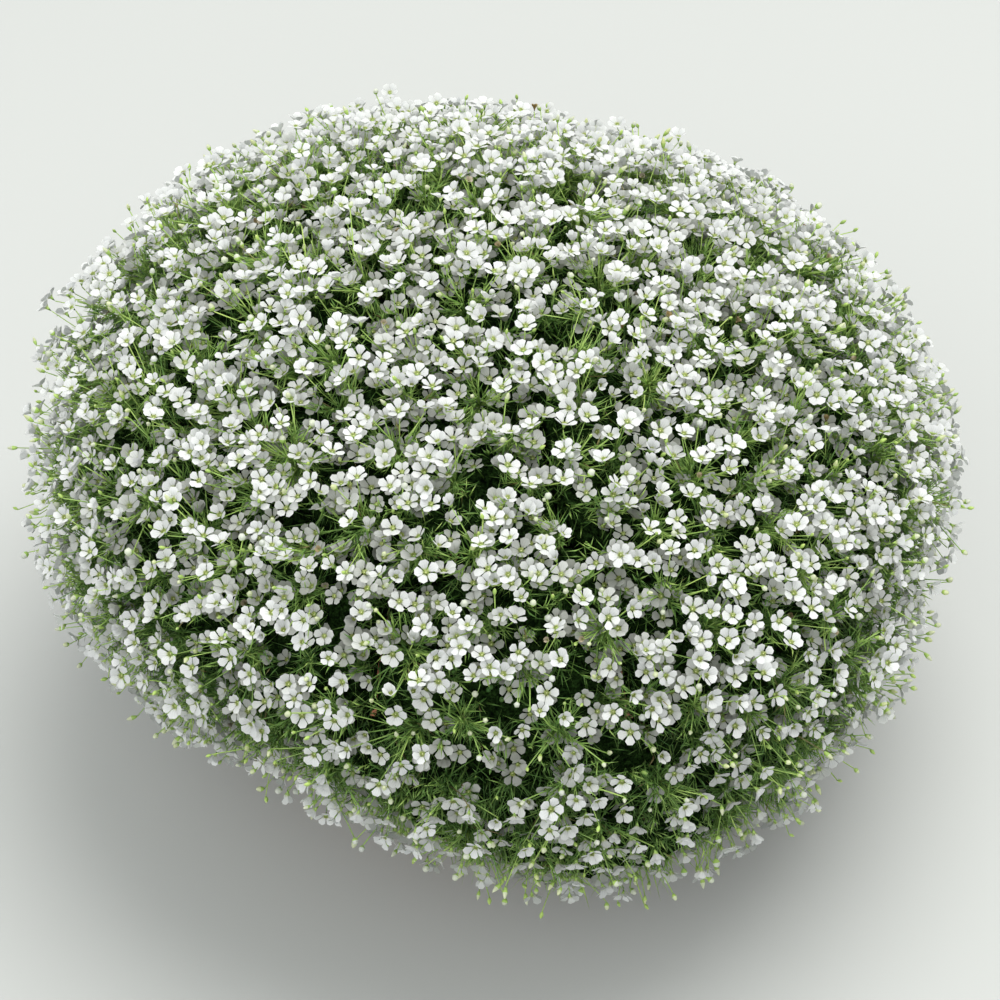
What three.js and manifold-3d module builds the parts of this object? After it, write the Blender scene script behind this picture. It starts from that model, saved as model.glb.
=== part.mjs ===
// A potted white gypsophila in full bloom: a round mound of small five-petalled flowers and thread-fine
// leaves that spills over the rim of a plain tapered pot and hides most of it.
//
// Millimetres, +Z up, the viewer on the -Y side. The origin is the middle of the pot's underside.
//
// pot             the tapered pot with its rim band and drain holes
// soil            the potting soil, with a plain hole for each stem
// leafy_stem_NN   one green stem with its leafy head, flower stalks, leaves and buds
// blooms_NN       the white flowers of that stem, grown into one another petal tip to petal tip
//
// The flowers and the leaves are larger than life, so that a few hundred cover the whole mound.

import * as THREE from "three";
import { mergeVertices } from "three/addons/utils/BufferGeometryUtils.js";
import Module from "manifold-3d";

const wasm = await Module();
wasm.setup();

// Driving dimensions
const POT_HEIGHT = 140;
const POT_RIM_RADIUS = 90;
const POT_FOOT_RADIUS = 62;
const POT_WALL = 5;
const POT_FLOOR = 6;
const POT_EDGE = 2;
const RIM_BAND_HEIGHT = 23;
const RIM_BAND_PROUD = 3.5;
const POT_SIDES = 28;
const DRAIN_HOLES = 4;
const DRAIN_RADIUS = 5;
const DRAIN_CIRCLE = 36;
const DRAIN_SIDES = 8;

const SOIL_LEVEL = 127;
const SOIL_CROWN = 3;
const SOIL_EDGE_DROP = 2;
const SOIL_SHOULDER = 0.8;
const FIT_GAP = 0.4;

const MOUND_RADIUS = 200;
const MOUND_HALF_HEIGHT = 142;
const MOUND_CENTRE_Z = 141;

// Slow swells of the mound: where it stands out or falls back, as a share of its radius
const SWELLS = [
  { azimuth: 140, polar: 50, spread: 38, share: 0.05 },
  { azimuth: -70, polar: 122, spread: 24, share: 0.05 },
  { azimuth: -128, polar: 122, spread: 22, share: -0.11 },
  { azimuth: 10, polar: 40, spread: 30, share: -0.03 },
  { azimuth: 60, polar: 100, spread: 30, share: 0.04 },
];

// Stems by ring, from the crown of the mound to its skirt. The last ring's heads hang over the pot's rim.
const STEM_RINGS = [
  { count: 1, polar: 0, azimuth: 0, holeRadius: 0, bend: 30 },
  { count: 6, polar: 33, azimuth: 12, holeRadius: 26, bend: 16 },
  { count: 10, polar: 71, azimuth: -90, holeRadius: 50, bend: 20 },
  { count: 10, polar: 111, azimuth: -72, holeRadius: 70, bend: 24 },
];
const SKIRT_EDGE = { count: 12, polar: 149, azimuth: 0 };

const STEM_RADIUS = 2.8;
const STEM_SIDES = 3;
const STEM_STEPS = 4;
const STEM_ROOT = 18;
const LEAN = new THREE.Vector3(1.04, 1.04, 1);
const HOLE_RADIUS = 4.2;
const HOLE_SIDES = 6;

const HEAD_LOBES = 7;
const HEAD_TOP_DEPTH = 23;
const HEAD_RIM_DEPTH = 27;
const HEAD_NOTCH_DEPTH = 36;
const HEAD_NOTCH_SHARE = 0.88;
const HEAD_TIP_DEPTH = 60;
const HEAD_REACH = 82;
const HEAD_MARGIN = 2.5;

const PETALS = 5;
const BLOOM_RADIUS = 18.5;
const BLOOM_RADIUS_SPREAD = 2.5;
const PETAL_HALF_ANGLE = THREE.MathUtils.degToRad(21);
const NOTCH_SHARE = 0.4;
const NOTCH_DROP = 0.22;
const THROAT_DEPTH = 0.42;
const CALYX_DEPTH = 0.92;
const TIP_THICKNESS = 0.9;
const CROWDING = 0.78;
const FREE_SPACING = 1.05;
const BLOOM_GAP = 0.9;
const BLOOM_LIFT = 5;
const SIZE_TRIES = 3;

const STALK_RADIUS = 1.3;
const STALK_SPREAD = 0.72;
const STALK_ROOT = 1;

const LEAVES_PER_STEM = 7;
const LEAF_RADIUS = 1.5;
const LEAF_LENGTH = 32;
const LEAF_LEAN = 0.55;

const BUDS_PER_STEM = 2;
const BUD_RADIUS = 2.7;
const BUD_LENGTH = 9;
const BUD_STALK_LENGTH = 40;
const BUD_LEAN = 0.3;

const SPRIG_ROOT = -1;
const SPRIG_SPREAD = 0.7;
const SPRIG_SHORTEST = 0.85;
const SPRIG_LONGEST = 1.1;
const SPRIG_CLEARANCE = 1.2;
const SPRIG_CELL_MARGIN = 2;
const SPRIG_STEPS = 16;

const TRIES = 60;
const SEED = 20;
const MERGE_DISTANCE = 1e-3;

const TURN = 2 * Math.PI;
const UP = new THREE.Vector3(0, 0, 1);
const rad = THREE.MathUtils.degToRad;

// A repeatable random draw between low and high
function drawFrom(seed) {
  let state = seed >>> 0;
  return (low, high) => {
    state = (state + 0x6d2b79f5) >>> 0;
    let t = Math.imul(state ^ (state >>> 15), 1 | state);
    t = (t + Math.imul(t ^ (t >>> 7), 61 | t)) ^ t;
    return low + ((high - low) * ((t ^ (t >>> 14)) >>> 0)) / 2 ** 32;
  };
}

// Solids

function solid(geometry) {
  const plain = geometry.clone();
  plain.deleteAttribute("normal");
  plain.deleteAttribute("uv");
  const merged = mergeVertices(plain, MERGE_DISTANCE);
  return new wasm.Manifold(
    new wasm.Mesh({
      numProp: 3,
      vertProperties: new Float32Array(merged.attributes.position.array),
      triVerts: new Uint32Array(merged.index.array),
    }),
  );
}

function geometryOf(manifold) {
  const mesh = manifold.getMesh();
  return new THREE.BufferGeometry()
    .setAttribute("position", new THREE.BufferAttribute(new Float32Array(mesh.vertProperties), 3))
    .setIndex(new THREE.BufferAttribute(new Uint32Array(mesh.triVerts), 1));
}

function joined(solids) {
  const whole = solids.reduce((sum, next) => sum.add(next));
  return whole.decompose().reduce((a, b) => (b.volume() > a.volume() ? b : a));
}

function node(name, manifold, material) {
  const mesh = new THREE.Mesh(geometryOf(manifold), material);
  mesh.name = name;
  return mesh;
}

// A pointed or blunt stick with a few sides, from one point to another
function stick(from, to, fromRadius, toRadius, sides) {
  const along = new THREE.Vector3().subVectors(to, from);
  const way = along.clone().normalize();
  const turn = new THREE.Quaternion().setFromUnitVectors(new THREE.Vector3(0, 1, 0), way);
  const middle = new THREE.Vector3().addVectors(from, to).multiplyScalar(0.5);
  return new THREE.CylinderGeometry(toRadius, fromRadius, along.length(), sides)
    .applyQuaternion(turn)
    .translate(middle.x, middle.y, middle.z);
}

// The mound's surface

function direction(polar, azimuth) {
  const level = Math.sin(polar);
  return new THREE.Vector3(level * Math.cos(azimuth), level * Math.sin(azimuth), Math.cos(polar));
}

function swell(polar, azimuth) {
  const here = direction(polar, azimuth);
  return SWELLS.reduce((sum, s) => {
    const away = here.angleTo(direction(rad(s.polar), rad(s.azimuth))) / rad(s.spread);
    return sum + s.share * Math.exp(-away * away);
  }, 1);
}

// Where the mound's surface stands at a polar angle from its top and an azimuth, and the way out from it
function site(polar, azimuth) {
  const halves = new THREE.Vector3(MOUND_RADIUS, MOUND_RADIUS, MOUND_HALF_HEIGHT);
  const way = direction(polar, azimuth);
  const point = way.clone().multiply(halves).multiplyScalar(swell(polar, azimuth));
  point.z += MOUND_CENTRE_Z;
  return { polar, azimuth, point, out: way.divide(halves).normalize() };
}

function siteNear(point) {
  const flat = Math.hypot(point.x, point.y);
  const polar = Math.atan2(flat / MOUND_RADIUS, (point.z - MOUND_CENTRE_Z) / MOUND_HALF_HEIGHT);
  return site(polar, Math.atan2(point.y, point.x));
}

function sunk(at, depth) {
  return at.point.clone().addScaledVector(at.out, -depth);
}

// Two unit vectors across a site, the first along its parallel
function tangents(at) {
  const first = new THREE.Vector3().crossVectors(UP, at.out);
  if (first.length() < MERGE_DISTANCE) first.set(1, 0, 0);
  first.normalize();
  return [first, new THREE.Vector3().crossVectors(at.out, first).normalize()];
}

function across(at, angle) {
  const [first, second] = tangents(at);
  return first.multiplyScalar(Math.cos(angle)).addScaledVector(second, Math.sin(angle));
}

// The site a distance away from another, in a direction across the surface
function stepped(at, way, distance) {
  return siteNear(at.point.clone().addScaledVector(way, distance));
}

// Cells: each stem owns the part of the mound that is nearer to it than to any other

function ringSites(ring) {
  return Array.from({ length: ring.count }, (_, i) => ({
    ...site(rad(ring.polar), rad(ring.azimuth) + (TURN * i) / ring.count),
    ring,
  }));
}

const cells = STEM_RINGS.flatMap(ringSites);
const rivals = [...cells, ...ringSites(SKIRT_EDGE)];

function owner(point) {
  const away = (cell) => cell.point.distanceToSquared(point);
  return rivals.reduce((best, cell) => (away(cell) < away(best) ? cell : best));
}

// How far a cell reaches in a direction across the surface
function reach(cell, way) {
  return rivals.reduce((least, rival) => {
    const apart = new THREE.Vector3().subVectors(rival.point, cell.point);
    const towards = apart.dot(way);
    return rival === cell || towards <= 0 ? least : Math.min(least, apart.lengthSq() / (2 * towards));
  }, HEAD_REACH + HEAD_MARGIN);
}

// Blooms

// A flower: its rim's centre and the way it faces, its radius, the turn of its first petal, how far it
// stands out of the mound, the flower it grew from and, by petal, the flowers that grew from it
function bloomAt(at, radius, firstPetal, lift, parent) {
  const facing = { ...at, point: at.point.clone().addScaledVector(at.out, lift) };
  return { at: facing, radius, firstPetal, lift, parent, children: new Map() };
}

function petalAngle(bloom, petal) {
  return bloom.firstPetal + (TURN * petal) / PETALS;
}

// A point of a flower: a turn round its axis, a share of its radius, and a share of its radius below its rim
function onBloom({ at, radius }, angle, share, drop) {
  const level = at.point.clone().addScaledVector(across(at, angle), share * radius);
  return level.addScaledVector(at.out, -drop * radius);
}

// The turn round a flower of the direction towards a point
function turnTowards(at, point) {
  const [first, second] = tangents(at);
  const apart = new THREE.Vector3().subVectors(point, at.point);
  return Math.atan2(apart.dot(second), apart.dot(first));
}

// Whether the petal ends of one flower stay out of another: each end's two corners and its middle
function tipsClear(bloom, other) {
  return Array.from({ length: PETALS }, (_, petal) => petalAngle(bloom, petal))
    .flatMap((angle) => [-1, 0, 1].map((side) => onBloom(bloom, angle + side * PETAL_HALF_ANGLE, 1, 0)))
    .every((tip) => {
      const away = tip.clone().sub(other.at.point).projectOnPlane(other.at.out).length();
      return away > bloomReach(other, 0, turnTowards(other.at, tip)) + BLOOM_GAP;
    });
}

// Flowers spread from each stem's middle. Each new one shares the end of a petal with one that is there.
function growBlooms(draw) {
  const size = () => draw(BLOOM_RADIUS - BLOOM_RADIUS_SPREAD, BLOOM_RADIUS + BLOOM_RADIUS_SPREAD);
  const firstOf = (cell) => bloomAt(cell, size(), draw(0, TURN), draw(-BLOOM_LIFT, BLOOM_LIFT));
  const clusters = cells.map((cell) => [firstOf(cell)]);
  const child = (parent, petal) => {
    const radius = size();
    const way = across(parent.at, petalAngle(parent, petal));
    const at = stepped(parent.at, way, (parent.radius + radius) * Math.cos(PETAL_HALF_ANGLE));
    const back = turnTowards(at, parent.at.point);
    return { ...bloomAt(at, radius, back, parent.lift, parent), petal };
  };
  const children = (parent) =>
    Array.from({ length: PETALS * SIZE_TRIES }, (_, i) => child(parent, i % PETALS))
      .filter((bloom) => !parent.children.has(bloom.petal));
  const room = (next, other) => {
    const apart = other.at.point.distanceTo(next.at.point) / (other.radius + next.radius);
    if (other === next.parent || apart > FREE_SPACING) return true;
    return apart > CROWDING && tipsClear(next, other) && tipsClear(other, next);
  };
  const fits = (next, cell) =>
    owner(next.at.point) === cell && clusters.flat().every((other) => room(next, other));
  for (let grew = true; grew; ) {
    grew = false;
    clusters.forEach((cluster, own) => {
      const fromMiddle = (bloom) => bloom.at.point.distanceTo(cells[own].point);
      const next = cluster
        .flatMap(children)
        .filter((bloom) => fits(bloom, cells[own]))
        .sort((a, b) => fromMiddle(a) - fromMiddle(b))[0];
      if (!next) return;
      next.parent.children.set(next.petal, next);
      cluster.push(next);
      grew = true;
    });
  }
  return clusters;
}

// A cluster of cupped flowers as one solid. Each has petals from a blunt tip down to the throat above and
// down to the calyx below. Two flowers that share a petal's end share its four corners.
function clusterSolid(cluster) {
  const points = [];
  const faces = [];
  const keep = (point) => points.push(point) - 1;
  const tips = new Map();
  for (const bloom of cluster) {
    const throat = keep(onBloom(bloom, 0, 0, THROAT_DEPTH));
    const calyx = keep(onBloom(bloom, 0, 0, CALYX_DEPTH));
    const petals = Array.from({ length: PETALS }, (_, petal) => {
      const angle = petalAngle(bloom, petal);
      const notch = keep(onBloom(bloom, angle + Math.PI / PETALS, NOTCH_SHARE, NOTCH_DROP));
      if (bloom.parent && petal === 0) {
        const { over, under } = tips.get(bloom.parent)[bloom.petal];
        return { over: [over[1], over[0]], under: [under[1], under[0]], notch };
      }
      const corners = [angle - PETAL_HALF_ANGLE, angle + PETAL_HALF_ANGLE];
      const tip = (drop) => corners.map((corner) => keep(onBloom(bloom, corner, 1, drop)));
      const over = tip(0);
      return { over, under: bloom.children.has(petal) ? tip(TIP_THICKNESS / bloom.radius) : over, notch };
    });
    tips.set(bloom, petals);
    petals.forEach(({ over, under, notch }, petal) => {
      const before = petals[(petal + PETALS - 1) % PETALS].notch;
      faces.push(throat, before, over[0], throat, over[0], over[1], throat, over[1], notch);
      faces.push(calyx, under[0], before, calyx, under[1], under[0], calyx, notch, under[1]);
      if (over !== under) faces.push(over[0], before, under[0], notch, over[1], under[1]);
    });
  }
  return solid(new THREE.BufferGeometry().setFromPoints(points).setIndex(faces));
}

// How far a flower's body reaches from its axis at a height below its rim and a turn round it
function bloomReach(bloom, below, turn) {
  const half = Math.PI / PETALS;
  const past = THREE.MathUtils.euclideanModulo(turn - bloom.firstPetal + half, 2 * half);
  const fromPetal = Math.abs(past - half);
  const edge = THREE.MathUtils.clamp((half - fromPetal) / (half - PETAL_HALF_ANGLE), 0, 1);
  const share = THREE.MathUtils.lerp(NOTCH_SHARE, 1, edge);
  const height = CALYX_DEPTH - below / bloom.radius;
  const fullHeight = CALYX_DEPTH - NOTCH_DROP * (1 - edge);
  return bloom.radius * share * THREE.MathUtils.clamp(height / fullHeight, 0, 1);
}

// Whether a point keeps clear of every flower
function clearOfBlooms(point, blooms, clearance) {
  return blooms.every((bloom) => {
    const apart = new THREE.Vector3().subVectors(point, bloom.at.point);
    const below = -apart.dot(bloom.at.out);
    if (below < -clearance || below > CALYX_DEPTH * bloom.radius + clearance) return true;
    const away = apart.addScaledVector(bloom.at.out, below).length();
    return away > bloomReach(bloom, below, turnTowards(bloom.at, point)) + clearance;
  });
}

// Leafy stems

// The leafy head under a cell's flowers: a pleated rosette over its lobed rim, and a long pyramid down to
// the stem
function head(cell) {
  const rim = Array.from({ length: 2 * HEAD_LOBES }, (_, i) => {
    const way = across(cell, (Math.PI * i) / HEAD_LOBES);
    const full = reach(cell, way) - HEAD_MARGIN;
    const isNotch = i % 2 === 1;
    const distance = isNotch ? full * HEAD_NOTCH_SHARE : full;
    return sunk(stepped(cell, way, distance), isNotch ? HEAD_NOTCH_DEPTH : HEAD_RIM_DEPTH);
  });
  const points = [...rim, sunk(cell, HEAD_TOP_DEPTH), sunk(cell, HEAD_TIP_DEPTH)];
  const faces = rim.flatMap((_, i) => {
    const next = (i + 1) % rim.length;
    return [rim.length, i, next, rim.length + 1, next, i];
  });
  return solid(new THREE.BufferGeometry().setFromPoints(points).setIndex(faces));
}

// Where a stem enters the soil
function holePoint(cell, z) {
  return new THREE.Vector3(
    cell.ring.holeRadius * Math.cos(cell.azimuth),
    cell.ring.holeRadius * Math.sin(cell.azimuth),
    z,
  );
}

function stem(cell) {
  const path = new THREE.CatmullRomCurve3([
    holePoint(cell, SOIL_LEVEL - STEM_ROOT),
    holePoint(cell, SOIL_LEVEL + SOIL_CROWN),
    holePoint(cell, SOIL_LEVEL + SOIL_CROWN + cell.ring.bend).multiply(LEAN),
    sunk(cell, (HEAD_RIM_DEPTH + HEAD_TIP_DEPTH) / 2),
  ]);
  const section = new THREE.Shape(
    Array.from({ length: STEM_SIDES }, (_, i) =>
      new THREE.Vector2(STEM_RADIUS, 0).rotateAround(new THREE.Vector2(), (TURN * i) / STEM_SIDES),
    ),
  );
  return solid(new THREE.ExtrudeGeometry(section, { steps: STEM_STEPS, extrudePath: path }));
}

// The stalk that carries a bloom: its foot is in the head, its end just short of the calyx
function stalk(cell, bloom) {
  const calyx = onBloom(bloom, 0, 0, CALYX_DEPTH + FIT_GAP / bloom.radius);
  const way = new THREE.Vector3().subVectors(bloom.at.point, cell.point);
  const foot = sunk(stepped(cell, way, STALK_SPREAD), HEAD_NOTCH_DEPTH + STALK_ROOT);
  return solid(stick(foot, calyx, STALK_RADIUS, 0, STEM_SIDES));
}

// A random place over a cell's head
function footOf(cell, draw) {
  const way = across(cell, draw(0, TURN));
  return stepped(cell, way, (reach(cell, way) - HEAD_MARGIN) * Math.sqrt(draw(0, SPRIG_SPREAD)));
}

// Whether a point lies over the cell's own part of the mound
function overCell(cell, point, margin) {
  const way = new THREE.Vector3().subVectors(siteNear(point).point, cell.point);
  const distance = way.length();
  return distance < margin || distance < reach(cell, way.normalize()) - margin;
}

// A straight sprig out of a cell's head that keeps clear of the flowers and of the neighbouring cells
function sprig(cell, blooms, draw, { length, thickness, lean }) {
  for (let i = 0; i < TRIES; i++) {
    const foot = footOf(cell, draw);
    const root = sunk(foot, HEAD_NOTCH_DEPTH + SPRIG_ROOT);
    const aside = across(foot, draw(0, TURN)).multiplyScalar(draw(0, lean));
    const way = foot.out.clone().add(aside).normalize();
    const tip = root.clone().addScaledVector(way, length * draw(SPRIG_SHORTEST, SPRIG_LONGEST));
    const along = (_, k) => new THREE.Vector3().lerpVectors(root, tip, k / SPRIG_STEPS);
    const free = (point) =>
      overCell(cell, point, thickness + SPRIG_CELL_MARGIN) &&
      clearOfBlooms(point, blooms, thickness + SPRIG_CLEARANCE);
    if (Array.from({ length: SPRIG_STEPS + 1 }, along).every(free)) return { root, tip, way };
  }
  return null;
}

function leaf({ root, tip }) {
  return solid(stick(root, tip, LEAF_RADIUS, 0, STEM_SIDES));
}

// A pointed bud on the end of its stalk
function bud({ root, tip, way }) {
  const body = new THREE.OctahedronGeometry(1)
    .scale(BUD_RADIUS, BUD_RADIUS, BUD_LENGTH / 2)
    .applyQuaternion(new THREE.Quaternion().setFromUnitVectors(UP, way))
    .translate(...tip.toArray());
  return solid(body).add(solid(stick(root, tip, STALK_RADIUS, 0, STEM_SIDES)));
}

function leafyStem(cell, cluster, blooms, draw) {
  const leafSize = { length: LEAF_LENGTH, thickness: LEAF_RADIUS, lean: LEAF_LEAN };
  const budSize = { length: BUD_STALK_LENGTH, thickness: BUD_RADIUS, lean: BUD_LEAN };
  const sprigs = (count, size) =>
    Array.from({ length: count }, () => sprig(cell, blooms, draw, size)).filter((found) => found);
  return joined([
    head(cell),
    stem(cell),
    ...cluster.map((bloom) => stalk(cell, bloom)),
    ...sprigs(LEAVES_PER_STEM, leafSize).map(leaf),
    ...sprigs(BUDS_PER_STEM, budSize).map(bud),
  ]);
}

// Pot and soil

// Radius of the pot's plain wall at a height, outside
function wallRadius(z) {
  const rim = POT_RIM_RADIUS - RIM_BAND_PROUD;
  return POT_FOOT_RADIUS + ((rim - POT_FOOT_RADIUS) * z) / POT_HEIGHT;
}

function lathe(profile) {
  const points = profile.map(([r, z]) => new THREE.Vector2(r, z));
  return solid(new THREE.LatheGeometry(points, POT_SIDES).rotateX(Math.PI / 2));
}

// The tapered pot: underside, wall, rim band, rounded lip, inside wall and floor, less its drain holes
function pot() {
  const bandFoot = POT_HEIGHT - RIM_BAND_HEIGHT;
  const inside = (z) => wallRadius(z) - POT_WALL;
  const body = lathe([
    [0, 0],
    [POT_FOOT_RADIUS - POT_EDGE, 0],
    [wallRadius(POT_EDGE), POT_EDGE],
    [wallRadius(bandFoot), bandFoot],
    [POT_RIM_RADIUS - POT_EDGE / 2, bandFoot + POT_EDGE / 2],
    [POT_RIM_RADIUS, POT_HEIGHT - POT_EDGE],
    [POT_RIM_RADIUS - POT_EDGE, POT_HEIGHT],
    [inside(POT_HEIGHT) + POT_EDGE / 2, POT_HEIGHT],
    [inside(POT_HEIGHT), POT_HEIGHT - POT_EDGE],
    [inside(POT_FLOOR), POT_FLOOR],
    [0, POT_FLOOR],
  ]);
  const drains = Array.from({ length: DRAIN_HOLES }, (_, i) => {
    const angle = (TURN * (i + 0.5)) / DRAIN_HOLES;
    const x = DRAIN_CIRCLE * Math.cos(angle);
    const y = DRAIN_CIRCLE * Math.sin(angle);
    return upright(DRAIN_RADIUS, 3 * POT_FLOOR, DRAIN_SIDES, new THREE.Vector3(x, y, 0));
  });
  return drains.reduce((left, hole) => left.subtract(hole), body);
}

// An upright cylinder about its middle
function upright(radius, height, sides, middle) {
  const cylinder = new THREE.CylinderGeometry(radius, radius, height, sides).rotateX(Math.PI / 2);
  return solid(cylinder.translate(...middle.toArray()));
}

// The soil, just short of the pot's wall and floor, less a hole for each stem
function soil() {
  const foot = POT_FLOOR + FIT_GAP;
  const outside = (z) => (wallRadius(z) - POT_WALL) * Math.cos(Math.PI / POT_SIDES) - FIT_GAP;
  const edge = SOIL_LEVEL - SOIL_EDGE_DROP;
  const body = lathe([
    [0, foot],
    [outside(foot), foot],
    [outside(edge), edge],
    [outside(edge) * SOIL_SHOULDER, SOIL_LEVEL],
    [0, SOIL_LEVEL + SOIL_CROWN],
  ]);
  const depth = STEM_ROOT + FIT_GAP;
  const holes = cells.map((cell) => upright(HOLE_RADIUS, 2 * depth, HOLE_SIDES, holePoint(cell, SOIL_LEVEL)));
  return holes.reduce((left, hole) => left.subtract(hole), body);
}

// The plant in its pot

const clay = new THREE.MeshStandardMaterial({ color: 0xa8603f, roughness: 0.85, metalness: 0 });
const peat = new THREE.MeshStandardMaterial({ color: 0x2e2018, roughness: 1, metalness: 0 });
const green = new THREE.MeshStandardMaterial({ color: 0x4d7a2c, roughness: 0.6, metalness: 0 });
const white = new THREE.MeshStandardMaterial({ color: 0xf4f5f0, roughness: 0.55, metalness: 0 });

const draw = drawFrom(SEED);
const clusters = growBlooms(draw);
const blooms = clusters.flat();

const plant = new THREE.Group();
plant.add(node("pot", pot(), clay), node("soil", soil(), peat));
cells.forEach((cell, i) => {
  const number = String(i + 1).padStart(2, "0");
  plant.add(
    node("leafy_stem_" + number, leafyStem(cell, clusters[i], blooms, draw), green),
    node("blooms_" + number, clusterSolid(clusters[i]), white),
  );
});

export default plant;
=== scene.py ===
"""A white gypsophila in full bloom, in a plain clay pot.

The plant is one round mound that hangs over the rim of its pot. Each leafy stem and each cluster of flowers
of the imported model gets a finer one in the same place: thread-thin leaves, wiry stalks, buds like beads
and small five-petalled flowers. Everything is in metres, +Z up, with the viewer on the -Y side.
"""

import logging
import math
from collections.abc import Callable, Iterable
from dataclasses import dataclass, field, replace
from enum import Enum

import bmesh
import bpy
import numpy as np
from mathutils import Matrix, Vector


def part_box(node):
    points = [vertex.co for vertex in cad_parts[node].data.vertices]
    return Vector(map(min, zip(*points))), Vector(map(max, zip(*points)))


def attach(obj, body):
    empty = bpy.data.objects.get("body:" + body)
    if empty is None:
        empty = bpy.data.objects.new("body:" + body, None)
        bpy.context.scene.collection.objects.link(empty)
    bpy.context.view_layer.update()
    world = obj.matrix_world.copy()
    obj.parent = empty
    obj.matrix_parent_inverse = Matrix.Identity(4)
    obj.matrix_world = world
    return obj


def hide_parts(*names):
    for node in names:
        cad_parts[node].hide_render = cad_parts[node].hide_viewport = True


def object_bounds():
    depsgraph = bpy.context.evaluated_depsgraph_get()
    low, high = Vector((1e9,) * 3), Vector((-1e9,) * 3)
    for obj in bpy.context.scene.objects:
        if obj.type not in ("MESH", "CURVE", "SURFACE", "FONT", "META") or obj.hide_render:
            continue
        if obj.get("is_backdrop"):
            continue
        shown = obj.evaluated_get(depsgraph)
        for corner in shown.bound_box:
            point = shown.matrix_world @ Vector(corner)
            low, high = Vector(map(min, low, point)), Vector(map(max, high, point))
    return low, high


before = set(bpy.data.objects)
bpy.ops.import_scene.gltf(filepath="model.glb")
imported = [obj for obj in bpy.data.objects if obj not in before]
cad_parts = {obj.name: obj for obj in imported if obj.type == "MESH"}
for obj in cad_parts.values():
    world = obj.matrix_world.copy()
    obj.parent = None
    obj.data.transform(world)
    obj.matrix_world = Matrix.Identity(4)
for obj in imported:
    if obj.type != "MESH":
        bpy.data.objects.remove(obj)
CAD_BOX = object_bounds()

log = logging.getLogger("gypsophila")

Array = np.ndarray
Random = np.random.Generator
Rule = Callable[[Array], Array]
Colour = tuple[float, float, float]
BMesh = bmesh.types.BMesh
Socket = bpy.types.NodeSocket
Piece = bpy.types.Object

MM = 0.001
TURN = 2.0 * math.pi
UP = np.array([0.0, 0.0, 1.0])
ROOT = "root"
TONE = "tone"
WHITE = (1.0, 1.0, 1.0)
TINY = 1e-12  # The least length that a vector is divided by
WELD = 1e-7  # Points this close count as one
NEAR = 1e-5  # Corners this close to a ring lie on it
FAR = 1.0  # Farther than any two points of the plant are apart
STEEP = 0.9  # The sine of the slope above which +Z is no help to stand a frame on a way
CREAM_FROM = 0.5  # The yellowness from which petals and buds turn cream


class Slot(Enum):
    """The material slots that the pieces are passed with; nothing in the script reads them."""

    POT = "pot"
    SOIL = "soil"
    LEAVES = "leaves"
    PETALS = "petals"


class Part(Enum):
    """Which of its piece's materials a face of a small shape takes.

    In flowers they are petal, green and throat, in foliage green, petal and the dark heart of painted shade,
    and in the soil peat and grit.
    """

    MAIN = 0
    OTHER = 1
    INNER = 2


# Directions, curves and random fields


def unit(vectors: Array) -> Array:
    """Return the vectors at length one."""
    return vectors / np.maximum(np.linalg.norm(vectors, axis=-1, keepdims=True), TINY)


def frames_facing(ways: Array, turns: Array) -> Array:
    """Stand a frame on each way.

    Args:
        ways: unit vectors, one a row.
        turns: how far each frame is turned about its way, in radians.

    Returns:
        One rotation matrix a way, whose third column is that way.
    """
    helper = np.where(np.abs(ways[:, 2:3]) > STEEP, np.array([1.0, 0.0, 0.0]), UP)
    side = unit(np.cross(helper, ways))
    first = np.cos(turns)[:, None] * side + np.sin(turns)[:, None] * np.cross(ways, side)
    return np.stack([first, np.cross(ways, first), ways], axis=-1)


def leaned(ways: Array, lean: Array | float, rng: Random) -> Array:
    """Lean unit vectors aside at random.

    Args:
        ways: unit vectors, one a row.
        lean: the spread of the lean, as the tangent of its angle.
        rng: the random draws.

    Returns:
        The leaned unit vectors.
    """
    aside = rng.normal(size=ways.shape)
    aside -= np.sum(aside * ways, axis=1, keepdims=True) * ways
    return unit(ways + aside * np.reshape(lean, (-1, 1)) / math.sqrt(2.0))


def stalk_paths(feet: Array, outs: Array, ends: Array, ways: Array, bow: float) -> Array:
    """Lay a curve from each foot to each end.

    Args:
        feet: where the curves start.
        outs: the ways in which they leave.
        ends: where they end.
        ways: the ways in which they arrive.
        bow: the share of its length that a curve keeps to each of its two ways.

    Returns:
        The four control points of each curve.
    """
    span = np.linalg.norm(ends - feet, axis=1, keepdims=True) * bow
    return np.stack([feet, feet + outs * span, ends - ways * span, ends], axis=1)


def along(paths: Array, share: Array | float) -> Array:
    """Find the points at a share of the way along curves.

    Args:
        paths: the four control points of each curve.
        share: the share of the way, from 0 at the foot to 1 at the end.

    Returns:
        The points.
    """
    rest = 1.0 - share
    weights = (rest**3, 3 * rest**2 * share, 3 * rest * share**2, share**3)
    return sum(weight * paths[..., i, :] for i, weight in enumerate(weights))


@dataclass(frozen=True)
class Ripples:
    """A smooth random field in space, a sum of plane waves with a spread of about one."""

    wavelength: float
    seed: int
    waves: int = 28
    lengths: tuple[float, float] = (0.7, 1.5)

    def at(self, points: Array) -> Array:
        """Measure the field.

        Args:
            points: where, one point a row.

        Returns:
            Its value at each point.
        """
        rng = np.random.default_rng(self.seed)
        ways = unit(rng.normal(size=(self.waves, 3)))
        lengths = self.wavelength * rng.uniform(*self.lengths, self.waves)
        phases = rng.uniform(0.0, TURN, self.waves)
        waves = np.cos(points @ (ways * TURN / lengths[:, None]).T + phases)
        return waves.sum(axis=1) * math.sqrt(2.0 / self.waves)


# The mound


@dataclass(frozen=True)
class Swell:
    """A soft spot on the mound: its middle and spread in degrees, and what it adds there, as a share."""

    azimuth: float
    polar: float
    spread: float
    share: float


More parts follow.
